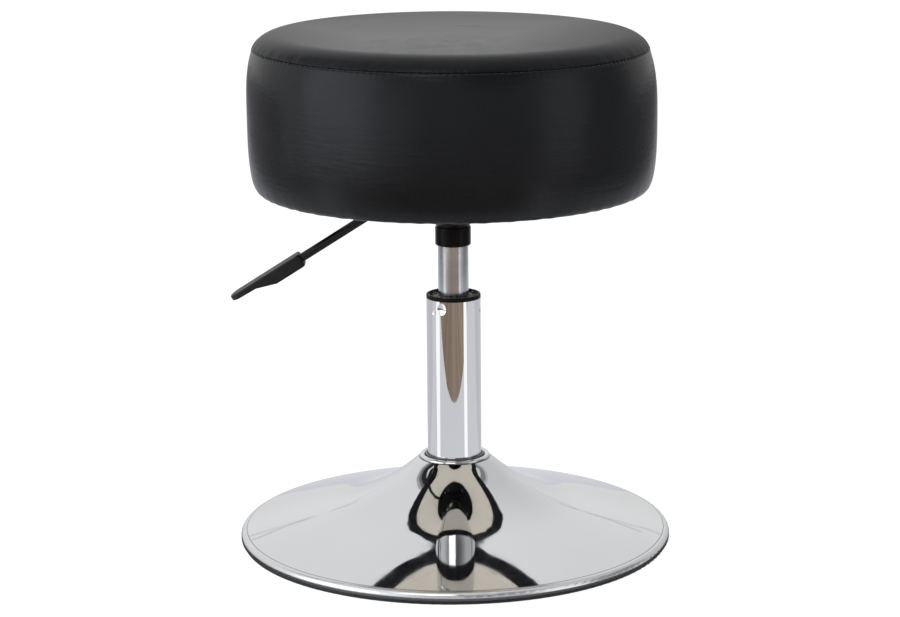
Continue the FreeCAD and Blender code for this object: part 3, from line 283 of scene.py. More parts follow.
# Gas cylinder. Steel tube ground to size on its outside, so it has fine rings of scratches
# round it and only a soft shine.
cylinder_steel = new_finish("ground_tube", (0.5, 0.516, 0.537), 0.2, 1.0)
cylinder_rings = speckle(cylinder_steel, 0.03, (1, 1, 4))
tint(cylinder_steel, cylinder_rings, (0.47, 0.487, 0.51), (0.525, 0.542, 0.565))
dull(cylinder_steel, speckle(cylinder_steel, 0.006, (1, 1, 10)), 0.18, 0.22)
emboss(cylinder_steel, speckle(cylinder_steel, 0.002, (1, 1, 25)), 0.00002, 0.12)
dress(cylinder_steel, "gas_cylinder")


# Hub, bracket and seat plate. Pressed steel parts welded together and painted gloss black
# in one go, with a slight orange peel in the paint.
paint = new_finish("gloss_black_paint", (0.0018, 0.0018, 0.002), 0.16)
shine(paint, 0.13)
tint(paint, speckle(paint, 0.02), (0.0014, 0.0014, 0.0016), (0.0026, 0.0026, 0.0029))
dull(paint, speckle(paint, 0.01), 0.12, 0.24)
emboss(paint, speckle(paint, 0.003, detail=1), 0.00006, 0.25)
dress(paint, "hub_tube", "lever_bracket", "seat_plate")


# Bolts, washers, flanged nuts and the lever's pivot. Bought fasteners: nuts and pivot zinc plated
# with a faint yellow-grey cloud, the bolts and washers below the black plate in black oxide.
fastener = new_finish("zinc_fastener", (0.55, 0.54, 0.5), 0.34, 1.0)
tint(fastener, speckle(fastener, 0.005), (0.45, 0.44, 0.4), (0.62, 0.6, 0.55))
dull(fastener, speckle(fastener, 0.0015), 0.26, 0.46)
dress(fastener, "seat_nuts", "pivot_pin", "pivot_clip")
black_oxide = new_finish("black_oxide", (0.012, 0.012, 0.013), 0.4)
tint(black_oxide, speckle(black_oxide, 0.004), (0.009, 0.009, 0.01), (0.018, 0.018, 0.019))
dull(black_oxide, speckle(black_oxide, 0.0015), 0.32, 0.5)
dress(black_oxide, "seat_bolts", "seat_washers")


# Seat board. A round of birch plywood with the nuts let into its upper face; the foam and the
# cover wrap over it, so only its edge would show with the cover off.
plywood = new_finish("birch_plywood", (0.6, 0.44, 0.27), 0.6)
tint(plywood, speckle(plywood, 0.03, (1, 12, 12)), (0.48, 0.33, 0.19), (0.66, 0.5, 0.32))
emboss(plywood, speckle(plywood, 0.004, (1, 14, 14)), 0.0002, 0.4)
dress(plywood, "seat_board")


# Cushion. A thick foam block under a black leathercloth cover: a round top panel sewn to a side
# band, puckered along the seam, the band pulled under the board and pleated at its hem.
# The cover is drawn as a turned shape, and a cloth run gives it its broad unevenness.
def cubic(start, near, far, end, count):
    """Points along a smooth curve, as (radius, height) rows."""
    t = np.linspace(0, 1, count)[:, None]
    start, near, far, end = (np.array(p) for p in (start, near, far, end))
    from_start = (1 - t) ** 3 * start + 3 * (1 - t) ** 2 * t * near
    return from_start + 3 * (1 - t) * t ** 2 * far + t ** 3 * end


def even_angles(count):
    """Angles of this many equal steps round the axis."""
    return np.arange(count) * 2 * math.pi / count


def fade(value, start, end):
    """0 at start and 1 at end, even between them and held beyond."""
    return np.clip((value - start) / (end - start), 0, 1)


def hump(value, centre, width):
    """1 at the centre, falling to nothing within a few widths."""
    return np.exp(-((value - centre) / width) ** 2)


def outward(rows):
    """Unit normals of a half outline that runs from the crown down the side."""
    way = np.gradient(rows, axis=0)
    way /= np.linalg.norm(way, axis=1)[:, None]
    return np.stack([-way[:, 1], way[:, 0]], axis=1)


def ring_points(rows, angles, shift):
    """Points of a turned surface, rows by angles, moved along its normals by shift."""
    grid = rows[:, None, :] + outward(rows)[:, None, :] * shift[:, :, None]
    reach, height = grid[:, :, 0], grid[:, :, 1]
    return np.stack([reach * np.cos(angles), reach * np.sin(angles), height], axis=2)


def settle(points):
    """The padding leans to the lever's side, fuller at the shoulder there, and sags under the edge."""
    lean, shoulder_rise, edge_sag = 0.0006, 0.0018, 0.0013
    across, height = points[..., 0], points[..., 2]
    reach = np.hypot(across, points[..., 1])
    upper = fade(height, 0.4, 0.46)
    upper = upper * upper * (3 - 2 * upper)
    fuller = fade(across, 0.18, -0.18)
    moved = points.copy()
    moved[..., 0] -= (lean + lean * fuller) * upper
    moved[..., 2] += shoulder_rise * fuller * fade(reach, 0, 0.155) ** 3 * upper
    moved[..., 2] -= edge_sag * fade(height, 0.352, 0.337) * fade(reach, 0.148, 0.168)
    return moved


def mesh_object(name, verts, faces, smooth):
    """A new object in the scene with this mesh."""
    mesh = bpy.data.meshes.new(name)
    mesh.from_pydata(verts, [], faces)
    mesh.polygons.foreach_set("use_smooth", [smooth] * len(mesh.polygons))
    mesh.update()
    piece = bpy.data.objects.new(name, mesh)
    bpy.context.scene.collection.objects.link(piece)
    return piece


def ring_object(name, points, middle=None, close_end=False):
    """Mesh of rings of points. A middle point closes the first ring, close_end the last one."""
    rows, turns = points.shape[:2]
    here = np.arange(turns)
    after = np.roll(here, -1)
    faces = []
    for row in range(rows - 1):
        low, high = row * turns, (row + 1) * turns
        faces += np.stack([low + here, high + here, high + after, low + after], axis=1).tolist()
    verts = points.reshape(-1, 3).tolist()
    if middle is not None:
        verts.append(middle)
        faces += [[len(verts) - 1, int(a), int(b)] for a, b in zip(here, after)]
    if close_end:
        last = (rows - 1) * turns
        verts.append([0, 0, float(points[-1, :, 2].mean())])
        faces += [[len(verts) - 1, last + int(b), last + int(a)] for a, b in zip(here, after)]
    return mesh_object(name, verts, faces, smooth=True)


# The outline as curves of (radius, height), from the crown to the hem under the board
crown_height = 0.478
seam_radius = 0.1777
hem_height = 0.3324
hem_end = 0.126
dome_curve = ((0, crown_height), (0.055, crown_height), (0.103, 0.4759), (0.155, 0.4718))
shoulder_curve = ((0.155, 0.4718), (0.1645, 0.4711), (0.1733, 0.4672), (seam_radius, 0.4592))
side_curve = ((0.1783, 0.4568), (0.18546, 0.436), (0.1853, 0.415), (0.1853, 0.39))
corner_curve = ((0.1853, 0.39), (0.1853, 0.357), (0.1833, hem_height), (0.1733, hem_height))

# The cloth run: a coarser cover, slightly slack between the seam and the hem, is blown up
soft_turns = 120
slack_depth = 0.002
held_slack = 0.05
cloth_frames = 20
soft_crown = np.concatenate([cubic(*dome_curve, 16)[1:], cubic(*shoulder_curve, 12)[1:]])
soft_side = cubic(*side_curve, 16)
soft_corner = cubic(*corner_curve, 14)[1:]
soft_hem = np.array([(r, hem_height) for r in np.linspace(0.17, 0.02, 8)])
soft_rows = np.concatenate([soft_crown, soft_side, soft_corner, soft_hem])
soft_count = len(soft_rows)
soft_angles = even_angles(soft_turns)
swell = np.zeros((soft_count, soft_turns))
crown_span = np.sin(np.linspace(0, 1, len(soft_crown)) * math.pi / 2 + math.pi / 2) ** 0.5
side_span = np.sin(np.linspace(0, 1, len(soft_side) + len(soft_corner)) * math.pi) ** 0.7
slack = np.concatenate([crown_span, side_span, np.zeros(len(soft_hem))])
lumps = np.zeros((soft_count, soft_turns))
for size, round_waves, row_waves, phase in (
    (0.0006, 2, 0.05, 0.4),
    (0.0005, 3, 0.16, 2.1),
    (0.0003, 5, 0.21, 4.0),
    (0.0002, 9, 0.3, 1.2),
):
    down = np.cos(row_waves * np.arange(soft_count) + phase)
    lumps += size * np.cos(round_waves * soft_angles + phase)[None, :] * down[:, None]
soft_points = ring_points(soft_rows, soft_angles, slack[:, None] * (lumps - slack_depth))
form = ring_object("cushion_form", soft_points, [0, 0, crown_height - slack_depth], close_end=True)
held = form.vertex_groups.new(name="held")
held_rows = [row for row in range(soft_count) if slack[row] < held_slack]
held.add([row * soft_turns + k for row in held_rows for k in range(soft_turns)], 1.0, "REPLACE")
cover = form.modifiers.new("cover", "CLOTH")
cover.settings.quality = 6
cover.settings.mass = 0.4
cover.settings.tension_stiffness = 40
cover.settings.compression_stiffness = 40
cover.settings.shear_stiffness = 20
cover.settings.bending_stiffness = 5
cover.settings.use_pressure = True
cover.settings.uniform_pressure_force = 4
cover.settings.vertex_group_mass = "held"
cover.settings.effector_weights.gravity = 0
cover.collision_settings.use_collision = False
for step in range(1, cloth_frames + 1):
    bpy.context.scene.frame_set(step)
blown = form.evaluated_get(bpy.context.evaluated_depsgraph_get())
spots = np.empty(len(blown.data.vertices) * 3)
blown.data.vertices.foreach_get("co", spots)
spots = spots.reshape(-1, 3)[: soft_count * soft_turns].reshape(soft_count, soft_turns, 3)
outline = np.stack([np.hypot(spots[:, :, 0], spots[:, :, 1]), spots[:, :, 2]], axis=2)
swell = np.einsum("rak,rk->ra", outline - soft_rows[:, None, :], outward(soft_rows))
bpy.data.objects.remove(form)
bpy.context.scene.frame_set(1)

# Only its broad unevenness is kept, because the mean outline is already the blown one, and the
# foam, which the run leaves out, presses the small folds flat: five waves round at most
waves_kept = 5
crown_share, side_share = 0.3, 0.6
most_uneven = 0.0008
waves = np.fft.rfft(swell, axis=1)
waves[:, 0] = 0
waves[:, waves_kept + 1:] = 0
uneven = np.fft.irfft(waves, soft_turns, axis=1)
uneven[:len(soft_crown)] *= crown_share
uneven[len(soft_crown):] *= side_share
uneven = np.clip(uneven, -most_uneven, most_uneven)


def unevenness(rows, angles):
    """The cloth run's unevenness at the points of a finer surface, smoothed down the rows."""
    nearest = np.array([np.argmin(np.hypot(*(soft_rows - row).T)) for row in rows])
    across = angles / (2 * math.pi) * soft_turns
    first = np.floor(across).astype(int) % soft_turns
    share = across - np.floor(across)
    table = uneven[nearest]
    shift = table[:, first] * (1 - share) + table[:, (first + 1) % soft_turns] * share
    half = 4
    window = np.ones(2 * half + 1) / (2 * half + 1)
    padded = np.pad(shift, ((half, half), (0, 0)), mode="edge")
    return np.stack([np.convolve(column, window, mode="valid") for column in padded.T], axis=1)


stitch_count = 187
stitch_radius, stitch_height = 0.1781, 0.4577
cover_angles = even_angles(stitch_count * 4)
pucker = 0.5 + 0.5 * np.cos(cover_angles * stitch_count)

# Top panel: the dome, the shoulder and an edge turned in at the seam, gathered by the stitches
top_edge = [(0.17765, 0.4589), (0.1772, 0.4587)]
top_rows = np.concatenate([cubic(*dome_curve, 44)[1:], cubic(*shoulder_curve, 30)[1:], top_edge])
top_middle = settle(np.array([0, 0, top_rows[0, 1]])).tolist()
stitch_gather, wave_gather = 0.00016, 0.00022
seam_pull = hump(top_rows[:, 0], seam_radius, 0.005)[:, None]
seam_waves = np.cos(cover_angles * 61 + 2 * np.sin(cover_angles * 6)) * np.cos(cover_angles * 13)
gather = stitch_gather * pucker + wave_gather * seam_waves
top_shift = unevenness(top_rows, cover_angles) * (1 - seam_pull) - seam_pull * gather[None, :]
top_points = settle(ring_points(top_rows, cover_angles, top_shift))
top_cover = ring_object("cushion_top", top_points, top_middle)

# Side band: a fold at the seam, the groove of the stitches, the side, the corner and the hem
fold_rows = [(0.1772, 0.4586), (0.17775, 0.4585), (0.178, 0.4582)]
groove_rows = [
    (0.17812, 0.458), (0.17822, stitch_height), (0.1783, 0.4573), (0.17842, 0.4568), (0.1786, 0.4561),
]
side_rows = cubic(*side_curve, 60)
band_rows = np.concatenate([
    fold_rows,
    groove_rows,
    side_rows[side_rows[:, 1] < 0.455],
    cubic(*corner_curve, 34)[1:],
    [(r, hem_height) for r in np.linspace(0.1725, hem_end, 24)],
])
groove_depth, pucker_depth, pleat_depth = 0.00045, 0.0002, 0.00018
band_radius, band_height = band_rows.T
groove = hump(band_height, stitch_height, 0.0007) * (band_height > 0.45)
drawn_in = np.exp(-np.abs(band_height - stitch_height) / 0.0028) * (band_height > 0.44)
away_from_seam = 1 - hump(band_height, 0.4585, 0.006)
under = fade(band_radius, 0.1835, 0.1715) * fade(band_radius, 0.141, 0.153) * (band_height < 0.345)
pleats = 0.6 + np.cos(cover_angles * 58 + 1.3 * np.sin(cover_angles * 7))
pleats += 0.6 * np.cos(cover_angles * 83 + 2 * np.sin(cover_angles * 5))
band_shift = unevenness(band_rows, cover_angles) * away_from_seam[:, None]
band_shift -= groove_depth * groove[:, None] + pucker_depth * drawn_in[:, None] * pucker[None, :]
band_shift += pleat_depth * under[:, None] * pleats[None, :]
side_cover = ring_object("cushion_side", settle(ring_points(band_rows, cover_angles, band_shift)))

# Leathercloth: a fine grain and flat creases; the top is rougher toward its sides and its rear
leather = new_finish("black_leathercloth", (0.005, 0.0052, 0.0062), 0.34)
shine(leather, 0.175)
shader_of(leather).inputs["Specular Tint"].default_value = (0.92, 0.95, 1, 1)
tint(leather, speckle(leather, 0.05), (0.0044, 0.0046, 0.0055), (0.006, 0.0062, 0.0073))
dull(leather, speckle(leather, 0.015), 0.26, 0.3)
grains_per_metre = 900
grain = leather.node_tree.nodes.new("ShaderNodeTexVoronoi")
grain.inputs["Scale"].default_value = grains_per_metre
grain_place = leather.node_tree.nodes.new("ShaderNodeTexCoord")
leather.node_tree.links.new(grain_place.outputs["Object"], grain.inputs["Vector"])
creases = spread(leather, speckle(leather, 0.012, (0.35, 0.35, 3.5), detail=3), 0, 2.5)
relief = combine(leather.node_tree, "ADD", grain.outputs["Distance"], creases)
emboss(leather, relief, 0.00008, 0.35)
top_leather = leather.copy()
top_leather.name = "black_leathercloth_top"
shine(top_leather, 0.118)
top_place = top_leather.node_tree.nodes.new("ShaderNodeTexCoord")
top_axes = top_leather.node_tree.nodes.new("ShaderNodeSeparateXYZ")
top_leather.node_tree.links.new(top_place.outputs["Object"], top_axes.inputs["Vector"])
for axis, low, high, start, end in (
    ("X", 0.26, 0.46, 0.03, 0.17),
    ("X", 0.4, 0.26, -0.17, -0.06),
    ("Y", 0.26, 0.4, -0.1, 0.1),
):
    roughen(top_leather, spread(top_leather, top_axes.outputs[axis], low, high, start, end))
top_cover.data.materials.append(top_leather)
side_cover.data.materials.append(leather)
for cover_piece in (top_cover, side_cover):
    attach(cover_piece, "seat")
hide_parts("top_panel", "seat_foam")
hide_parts("side_band")


# Seam stitching. One row of black bonded thread in the groove of the seam, each stitch pulled
# into the leathercloth at both ends.
def wire_faces(start, rings, sides):
    """Faces of one closed piece of wire, whose rings of points begin at the vertex start."""
    faces = []
    for ring in range(rings - 1):
        for side in range(sides):
            a = start + ring * sides + side
            b = start + ring * sides + (side + 1) % sides
            faces.append((a, b, b + sides, a + sides))
    last = start + (rings - 1) * sides
    faces.append(tuple(start + side for side in reversed(range(sides))))
    faces.append(tuple(last + side for side in range(sides)))
    return faces


stitch_length = 0.0044
thread_radius = 0.0003
thread_rings, thread_sides = 7, 8
end_depth, crown_rise, stitch_sway = 0.0006, 0.00005, 0.00004
stitch_verts = []
stitch_faces = []
for number in range(stitch_count):
    middle = 2 * math.pi * (number + 0.5) / stitch_count
    lift = stitch_sway * math.sin(number * 2.4)
    stitch_faces += wire_faces(len(stitch_verts), thread_rings, thread_sides)
    for ring in range(thread_rings):
        along = ring / (thread_rings - 1) - 0.5
        angle = middle + along * stitch_length / stitch_radius
        sink = end_depth * (2 * along) ** 4 - crown_rise
        thick = thread_radius * (1 - 0.75 * abs(2 * along) ** 5)
        for side in range(thread_sides):
            turn = 2 * math.pi * side / thread_sides
            radius = stitch_radius - sink + thick * math.cos(turn)
            height = stitch_height + lift + thick * math.sin(turn)
            stitch_verts.append((radius * math.cos(angle), radius * math.sin(angle), height))
stitch_verts = settle(np.array(stitch_verts)).tolist()
stitches = mesh_object("seat_stitches", stitch_verts, stitch_faces, smooth=True)
thread = new_finish("black_thread", (0.006, 0.006, 0.006), 0.6)
tint(thread, speckle(thread, 0.0006), (0.004, 0.004, 0.004), (0.01, 0.01, 0.01))
emboss(thread, speckle(thread, 0.0004), 0.00005, 0.6)
stitches.data.materials.append(thread)
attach(stitches, "seat")


# Dust cloth. Beige non-woven cloth stretched over the underside of the seat, flat on the board
# in the middle and lower where it covers the hem, its cut edge turned under and stapled.
cloth_edge = 0.139
board_face = 0.33325
hem_step = 0.0013
wave_depth = 0.00014
cloth_angles = even_angles(240)
cloth_radii = np.concatenate([
    np.linspace(0.006, 0.117, 28),
    np.linspace(0.1185, 0.1265, 13),
    np.linspace(0.128, cloth_edge - 0.0012, 9),
])
cloth_drop = 1 / (1 + np.exp(-(cloth_radii - 0.1213) / 0.0006))
turned_edge = [(cloth_edge - 0.0003, 0.33185), (cloth_edge, 0.33205), (cloth_edge - 0.0003, 0.33225)]
cloth_rows = np.stack([cloth_radii, board_face - hem_step * cloth_drop], axis=1)
cloth_rows = np.concatenate([cloth_rows, turned_edge])
wave_share = fade(cloth_rows[:, 0], 0.07, 0.13)
wave_share *= np.where(cloth_rows[:, 0] < cloth_edge - 0.0015, 1, 0.3)
cloth_waves = 0.6 * np.cos(cloth_angles * 28) + 0.4 * np.cos(cloth_angles * 17 + 1)
cloth_shift = wave_depth * wave_share[:, None] * cloth_waves[None, :]
cloth_points = ring_points(cloth_rows, cloth_angles, cloth_shift)
dust_cloth = ring_object("seat_dust_cloth", cloth_points, [0, 0, board_face])
beige_cloth = new_finish("beige_nonwoven", (0.88, 0.81, 0.69), 0.85)
tint(beige_cloth, speckle(beige_cloth, 0.004, (1, 3, 1)), (0.84, 0.76, 0.64), (0.92, 0.86, 0.74))
emboss(beige_cloth, speckle(beige_cloth, 0.0012), 0.00012, 0.6)
dust_cloth.data.materials.append(beige_cloth)
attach(dust_cloth, "seat")
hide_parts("dust_cloth")


# Staples. Flat zinc plated steel wire, bent and shot through the cloth's turned edge into the
# board, not quite evenly spaced. Only their crowns show, lying flat on the cloth.
staple_count = 24
staple_ring = 0.1325
staple_height = 0.3319
staple_width = 0.0102
wire_wide = 0.0011
wire_thick = 0.0006
wire_corners = ((-1, -1), (1, -1), (1, 1), (-1, 1))
staple_path = (
    (-1, 0.0006), (-0.97, -0.0002), (-0.9, -0.0005), (0, -0.00055),
    (0.9, -0.0005), (0.97, -0.0002), (1, 0.0006),
)
staple_verts = []
staple_faces = []
for number in range(staple_count):
    angle = 2 * math.pi * (number + 0.2 * math.sin(number * 1.7)) / staple_count
    radial = np.array([math.cos(angle), math.sin(angle), 0])
    tangent = np.array([-math.sin(angle), math.cos(angle), 0])
    staple_faces += wire_faces(len(staple_verts), len(staple_path), len(wire_corners))
    for along, drop in staple_path:
        for across, up in wire_corners:
            spot = radial * (staple_ring + across * wire_wide / 2) + tangent * along * staple_width / 2
            spot[2] = staple_height + drop + up * wire_thick / 2
            staple_verts.append(tuple(spot))
staples = mesh_object("cloth_staples", staple_verts, staple_faces, smooth=False)
staples.data.materials.append(zinc)
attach(staples, "seat")


# Release lever. A bent steel rod painted gloss black, welded to a cross barrel that turns on the
# pin in the bracket. Its inner end presses the valve.
rod_paint = new_finish("lever_paint", (0.003, 0.003, 0.0035), 0.2)
shine(rod_paint, 0.3)
dull(rod_paint, speckle(rod_paint, 0.006), 0.1, 0.18)
tint(rod_paint, speckle(rod_paint, 0.015), (0.002, 0.002, 0.0023), (0.004, 0.004, 0.0045))
emboss(rod_paint, speckle(rod_paint, 0.002, detail=1), 0.00004, 0.3)
dress(rod_paint, "lever_rod")


# Lever handle. A black moulded paddle pushed on to the rod's end, with a satin spark texture
# and a shine that wanders a little from handling.
handle_plastic = new_finish("handle_plastic", (0.008, 0.008, 0.0085), 0.45)
shine(handle_plastic, 0.22)
handle_clouds = speckle(handle_plastic, 0.012)
tint(handle_plastic, handle_clouds, (0.0065, 0.0065, 0.007), (0.01, 0.01, 0.0105))
dull(handle_plastic, speckle(handle_plastic, 0.006), 0.38, 0.52)
emboss(handle_plastic, speckle(handle_plastic, 0.0007), 0.00006, 0.5)
dress(handle_plastic, "lever_handle")


# Studio. The stool stands on a white sheet in a white room, lit by soft boxes from the left, the
# right, the front and above. Cards that only mirrors see stand for what the chrome and the
# leathercloth reflect: the sheet, a brown floor before it, the walls and two thin edges behind.
def studio_card(name, corners, finish):
    """A sheet or card of the studio, one four-sided face for each four corners."""
    faces = [list(range(k, k + 4)) for k in range(0, len(corners), 4)]
    card = mesh_object(name, corners, faces, smooth=False)
    card.data.materials.append(finish)
    return card


def bare_finish(name):
    """A finish with nothing but its output, and that output's surface socket."""
    finish = bpy.data.materials.new(name)
    finish.use_nodes = True
    finish.node_tree.nodes.clear()
    return finish, finish.node_tree.nodes.new("ShaderNodeOutputMaterial").inputs["Surface"]


def coloured(tree, kind, colour):
    """The output of a plain shader of one colour."""
    node = tree.nodes.new(kind)
    node.inputs["Color"].default_value = (*colour, 1)
    return node.outputs[0]


def floor_box(left, right, front, back, height):
    """Corners of a level card."""
    return [(left, front, height), (right, front, height), (right, back, height), (left, back, height)]


def mirror_card(name, corners, colour, strength=1):
    """A card that only mirrors see: what stands round the stool outside the picture."""
    finish, surface = bare_finish(name)
    glow = coloured(finish.node_tree, "ShaderNodeEmission", colour)
    glow.node.inputs["Strength"].default_value = strength
    finish.node_tree.links.new(glow, surface)
    card = studio_card(name, corners, finish)
    card.visible_camera = False
    card.visible_diffuse = False
    card.visible_shadow = False
    return card


# The sheet lights the stool as white cloth, looks evenly white and is see-through from below
white_sheet, sheet_surface = bare_finish("white_sheet")
sheet_tree = white_sheet.node_tree
sheet_lit = coloured(sheet_tree, "ShaderNodeBsdfDiffuse", (0.9, 0.9, 0.9))
sheet_shade = coloured(sheet_tree, "ShaderNodeBsdfDiffuse", (0.2, 0.2, 0.2))
sheet_glow = coloured(sheet_tree, "ShaderNodeEmission", (0.9, 0.9, 0.9))
sheet_clear = coloured(sheet_tree, "ShaderNodeBsdfTransparent", (1, 1, 1))
sheet_ray = sheet_tree.nodes.new("ShaderNodeLightPath")
sheet_side = sheet_tree.nodes.new("ShaderNodeNewGeometry")
sheet_seen = sheet_tree.nodes.new("ShaderNodeAddShader")
sheet_above = sheet_tree.nodes.new("ShaderNodeMixShader")
sheet_below = sheet_tree.nodes.new("ShaderNodeMixShader")
for source, target in (
    (sheet_shade, sheet_seen.inputs[0]),
    (sheet_glow, sheet_seen.inputs[1]),
    (sheet_ray.outputs["Is Camera Ray"], sheet_above.inputs["Fac"]),
    (sheet_lit, sheet_above.inputs[1]),
    (sheet_seen.outputs["Shader"], sheet_above.inputs[2]),
    (sheet_side.outputs["Backfacing"], sheet_below.inputs["Fac"]),
    (sheet_above.outputs["Shader"], sheet_below.inputs[1]),
    (sheet_clear, sheet_below.inputs[2]),
    (sheet_below.outputs["Shader"], sheet_surface),
):
    sheet_tree.links.new(source, target)
studio_card("studio_sheet", floor_box(-6, 6, -6, 6, 0), white_sheet)

# What mirrors see on the floor: boards in front of the sheet, the sheet and a darker floor beside
sheet_edge = -0.522
sheet_rear = 0.16
sheet_half = 1.05
room_half = 5
floor_card = 0.001
board_corners = floor_box(-room_half, room_half, -room_half, sheet_edge, floor_card)
boards = mirror_card("studio_front_floor", board_corners, (0.35, 0.262, 0.205)).data.materials[0]
board_noise = speckle(boards, 0.3, (1, 0.06, 1), detail=3)
board_colour = two_colours(boards, board_noise, (0.27, 0.195, 0.145), (0.43, 0.33, 0.265), 0.35, 0.65)
boards.node_tree.links.new(board_colour, boards.node_tree.nodes["Emission"].inputs["Color"])
for name, left, right, front, back, colour in (
    ("studio_near_sheet", -sheet_half, sheet_half, sheet_edge, sheet_rear, (0.88, 0.89, 0.92)),
    ("studio_rear_sheet", -sheet_half, sheet_half, sheet_rear, room_half, (0.73, 0.735, 0.785)),
    ("studio_left_floor", -room_half, -sheet_half, sheet_edge, room_half, (0.26, 0.26, 0.28)),
    ("studio_right_floor", sheet_half, room_half, sheet_edge, room_half, (0.2, 0.2, 0.215)),
):
    mirror_card(name, floor_box(left, right, front, back, floor_card), colour)
# Painted shadow: a dark ring on the floor round the rim, seen only in mirrors, for the base's contact
# shadow, which the glowing sheet card lacks.
inner, outer, shade_height, shade_steps = 0.2, 0.222, 0.0012, 96
shade_ways = [2 * math.pi * step / shade_steps for step in range(shade_steps + 1)]
shade_corners = []
for way, after in zip(shade_ways, shade_ways[1:]):
    shade_corners += [
        (reach * math.cos(turn), reach * math.sin(turn), shade_height)
        for reach, turn in ((inner, way), (outer, way), (outer, after), (inner, after))
    ]
mirror_card("studio_rim_painted_shadow", shade_corners, (0.03, 0.03, 0.03))


def toward(turn, reach, height):
    """A place by its turn in degrees from the front to the right, its reach and its height."""
    way = math.radians(turn)
    return (reach * math.sin(way), -reach * math.cos(way), height)


strip_near, strip_far, strip_height = 0.27, 1.3, 0.002
for name, turn, half in (("studio_strip_left", -69, 8), ("studio_strip_right", 49, 7)):
    strip_corners = [
        toward(turn + side * half, reach, strip_height)
        for side, reach in ((-1, strip_near), (1, strip_near), (1, strip_far), (-1, strip_far))
    ]
    mirror_card(name, strip_corners, (1, 1, 1), 1.5)
edge_reach = 3
edge_half = 0.007
left_edge = ((-160.5, 1.128), (-164.9, 1.1), (-161.9, 1.044), (-159.6, 0.927), (-154.2, 0.791))
right_edge = ((161.5, 1.165), (164.9, 1.125), (162.2, 1.059), (159.1, 1.025), (158.2, 0.944))
for name, edge_path in (("studio_edge_left", left_edge), ("studio_edge_right", right_edge)):
    spots = [Vector(toward(turn, edge_reach, height)) for turn, height in edge_path]
    edge_corners = []
    for near, far in zip(spots, spots[1:]):
        aside = (far - near).cross(near).normalized() * edge_half
        edge_corners += [near - aside, far - aside, far + aside, near + aside]
    mirror_card(name, edge_corners, (0.5, 0.5, 0.52))


def wall_box(turn_from, turn_to, low, high, reach):
    """Corners of an upright card."""
    return [
        toward(turn, reach, height)
        for turn, height in ((turn_from, low), (turn_to, low), (turn_to, high), (turn_from, high))
    ]


# Walls in front and at the sides: turns, brightness below and above seat height, top edge
wall_reach = 2
wall_split = 0.5
wall_colour = (0.96, 0.98, 1)
for number, (turn_from, turn_to, bright, bright_above, high) in enumerate((
    (-104, -84, 1.1, 1.1, 1.2),
    (-84, -62, 2.6, 2.9, 1.65),
    (-62, -42, 3.0, 2.6, 1.65),
    (-42, -20, 1.4, 1.1, 1.2),
    (-20, 20, 0.64, 0.64, 1.2),
    (20, 48, 0.6, 0.6, 1.2),
    (48, 74, 1.5, 1.4, 1.2),
    (80, 114, 0.3, 0.3, 1.2),
)):
    name = f"studio_wall_{number}"
    mirror_card(name, wall_box(turn_from, turn_to, 0, wall_split, wall_reach), wall_colour, bright)
    above_corners = wall_box(turn_from, turn_to, wall_split, high, wall_reach)
    mirror_card(name + "_above", above_corners, wall_colour, bright_above)
# Dark upright gaps high up behind the sides: turns and brightness
gap_low, gap_high, gap_reach = 1.3, 2.9, 1.6
for number, (turn_from, turn_to, bright) in enumerate((
    (-118, -110.5, 0.03), (-121.5, -118, 0.2), (-125, -121.5, 0.5), (107, 114, 0.3), (114, 118, 0.6),
)):
    gap_corners = wall_box(turn_from, turn_to, gap_low, gap_high, gap_reach)
    mirror_card(f"studio_dark_{number}", gap_corners, (1, 1, 1), bright)

# The room: white to the camera, even light on the pieces, and brighter behind and above in mirrors
ambient_level = 0.75
studio = bpy.data.worlds.new("studio")
bpy.context.scene.world = studio
studio.use_nodes = True
room = studio.node_tree
room.nodes.clear()
room_out = room.nodes.new("ShaderNodeOutputWorld")
room_way = room.nodes.new("ShaderNodeTexCoord")
room_axes = room.nodes.new("ShaderNodeSeparateXYZ")
room.links.new(room_way.outputs["Generated"], room_axes.inputs["Vector"])
room_bright = 1
for axis, start, end, low, high in (
    ("Z", 0, 0.3, 0.84, 1.0),
    ("Y", -0.75, -0.2, 0.12, 1.0),
    ("X", 0.05, 0.6, 1.0, 0.78),
):
    along_axis = spread(studio, room_axes.outputs[axis], low, high, start, end)
    along_axis.node.interpolation_type = "SMOOTHSTEP"
    room_bright = combine(room, "MULTIPLY", room_bright, along_axis)
room_ray = room.nodes.new("ShaderNodeLightPath")
glossy_ray = room_ray.outputs["Is Glossy Ray"]
in_mirrors = combine(room, "MULTIPLY", glossy_ray, room_bright)
elsewhere = combine(room, "MULTIPLY", combine(room, "SUBTRACT", 1, glossy_ray), ambient_level)
not_camera = combine(room, "ADD", in_mirrors, elsewhere)
room_level = combine(room, "MAXIMUM", not_camera, room_ray.outputs["Is Camera Ray"])
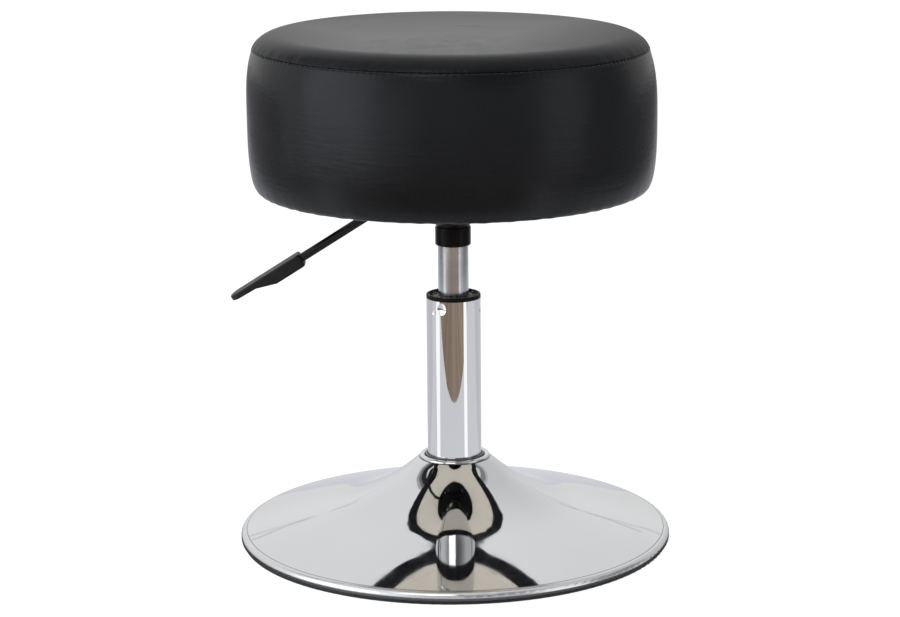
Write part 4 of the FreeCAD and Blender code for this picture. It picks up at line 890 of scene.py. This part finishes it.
room_shader = room.nodes.new("ShaderNodeBackground")
room_shader.inputs["Color"].default_value = (1, 1, 1, 1)
room.links.new(room_level, room_shader.inputs["Strength"])
room.links.new(room_shader.outputs["Background"], room_out.inputs["Surface"])

# Soft boxes: place, height of the aim on the axis, width, height, watts and whether mirrors see it
for name, place, aim, width, height, power, mirrored in (
    ("left_box", (-1.5, -0.4, 0.95), 0.35, 1.4, 1.0, 12, False),
    ("right_box", (1.5, -0.7, 1.0), 0.35, 0.7, 0.7, 2, False),
    ("front_box", (-0.45, -1.45, 1.75), 0.25, 1.0, 0.9, 7, True),
    ("top_box", (0.1, 0.3, 2.2), 0.3, 1.6, 1.2, 14, False),
):
    lamp = bpy.data.lights.new(name, "AREA")
    lamp.shape = "RECTANGLE"
    lamp.size = width
    lamp.size_y = height
    lamp.energy = power
    box = bpy.data.objects.new(name, lamp)
    bpy.context.scene.collection.objects.link(box)
    box.location = place
    box.rotation_euler = (Vector((0, 0, aim)) - Vector(place)).to_track_quat("-Z", "Y").to_euler()
    box.visible_glossy = mirrored

# The camera, fitted to the photograph's outlines
bpy.context.scene.view_settings.view_transform = "Standard"
lens = bpy.data.cameras.new("camera")
lens.sensor_width = 36
lens.sensor_fit = "HORIZONTAL"
lens.lens = 106.33
lens.clip_start = 0.05
lens.clip_end = 50
eye = bpy.data.objects.new("camera", lens)
bpy.context.scene.collection.objects.link(eye)
eye_place = Vector((0, -2.3778, 0.7681))
pitch, yaw, roll = (math.radians(turn) for turn in (13.036, -0.079, -0.442))
ahead = Vector((math.sin(yaw) * math.cos(pitch), math.cos(yaw) * math.cos(pitch), -math.sin(pitch)))
level = ahead.cross(Vector((0, 0, 1))).normalized()
above = level.cross(ahead)
eye_right = math.cos(roll) * level + math.sin(roll) * above
eye_up = math.cos(roll) * above - math.sin(roll) * level
eye_turn = Matrix((eye_right, eye_up, -ahead)).transposed()
eye.matrix_world = Matrix.Translation(eye_place) @ eye_turn.to_4x4()
bpy.context.scene.camera = eye
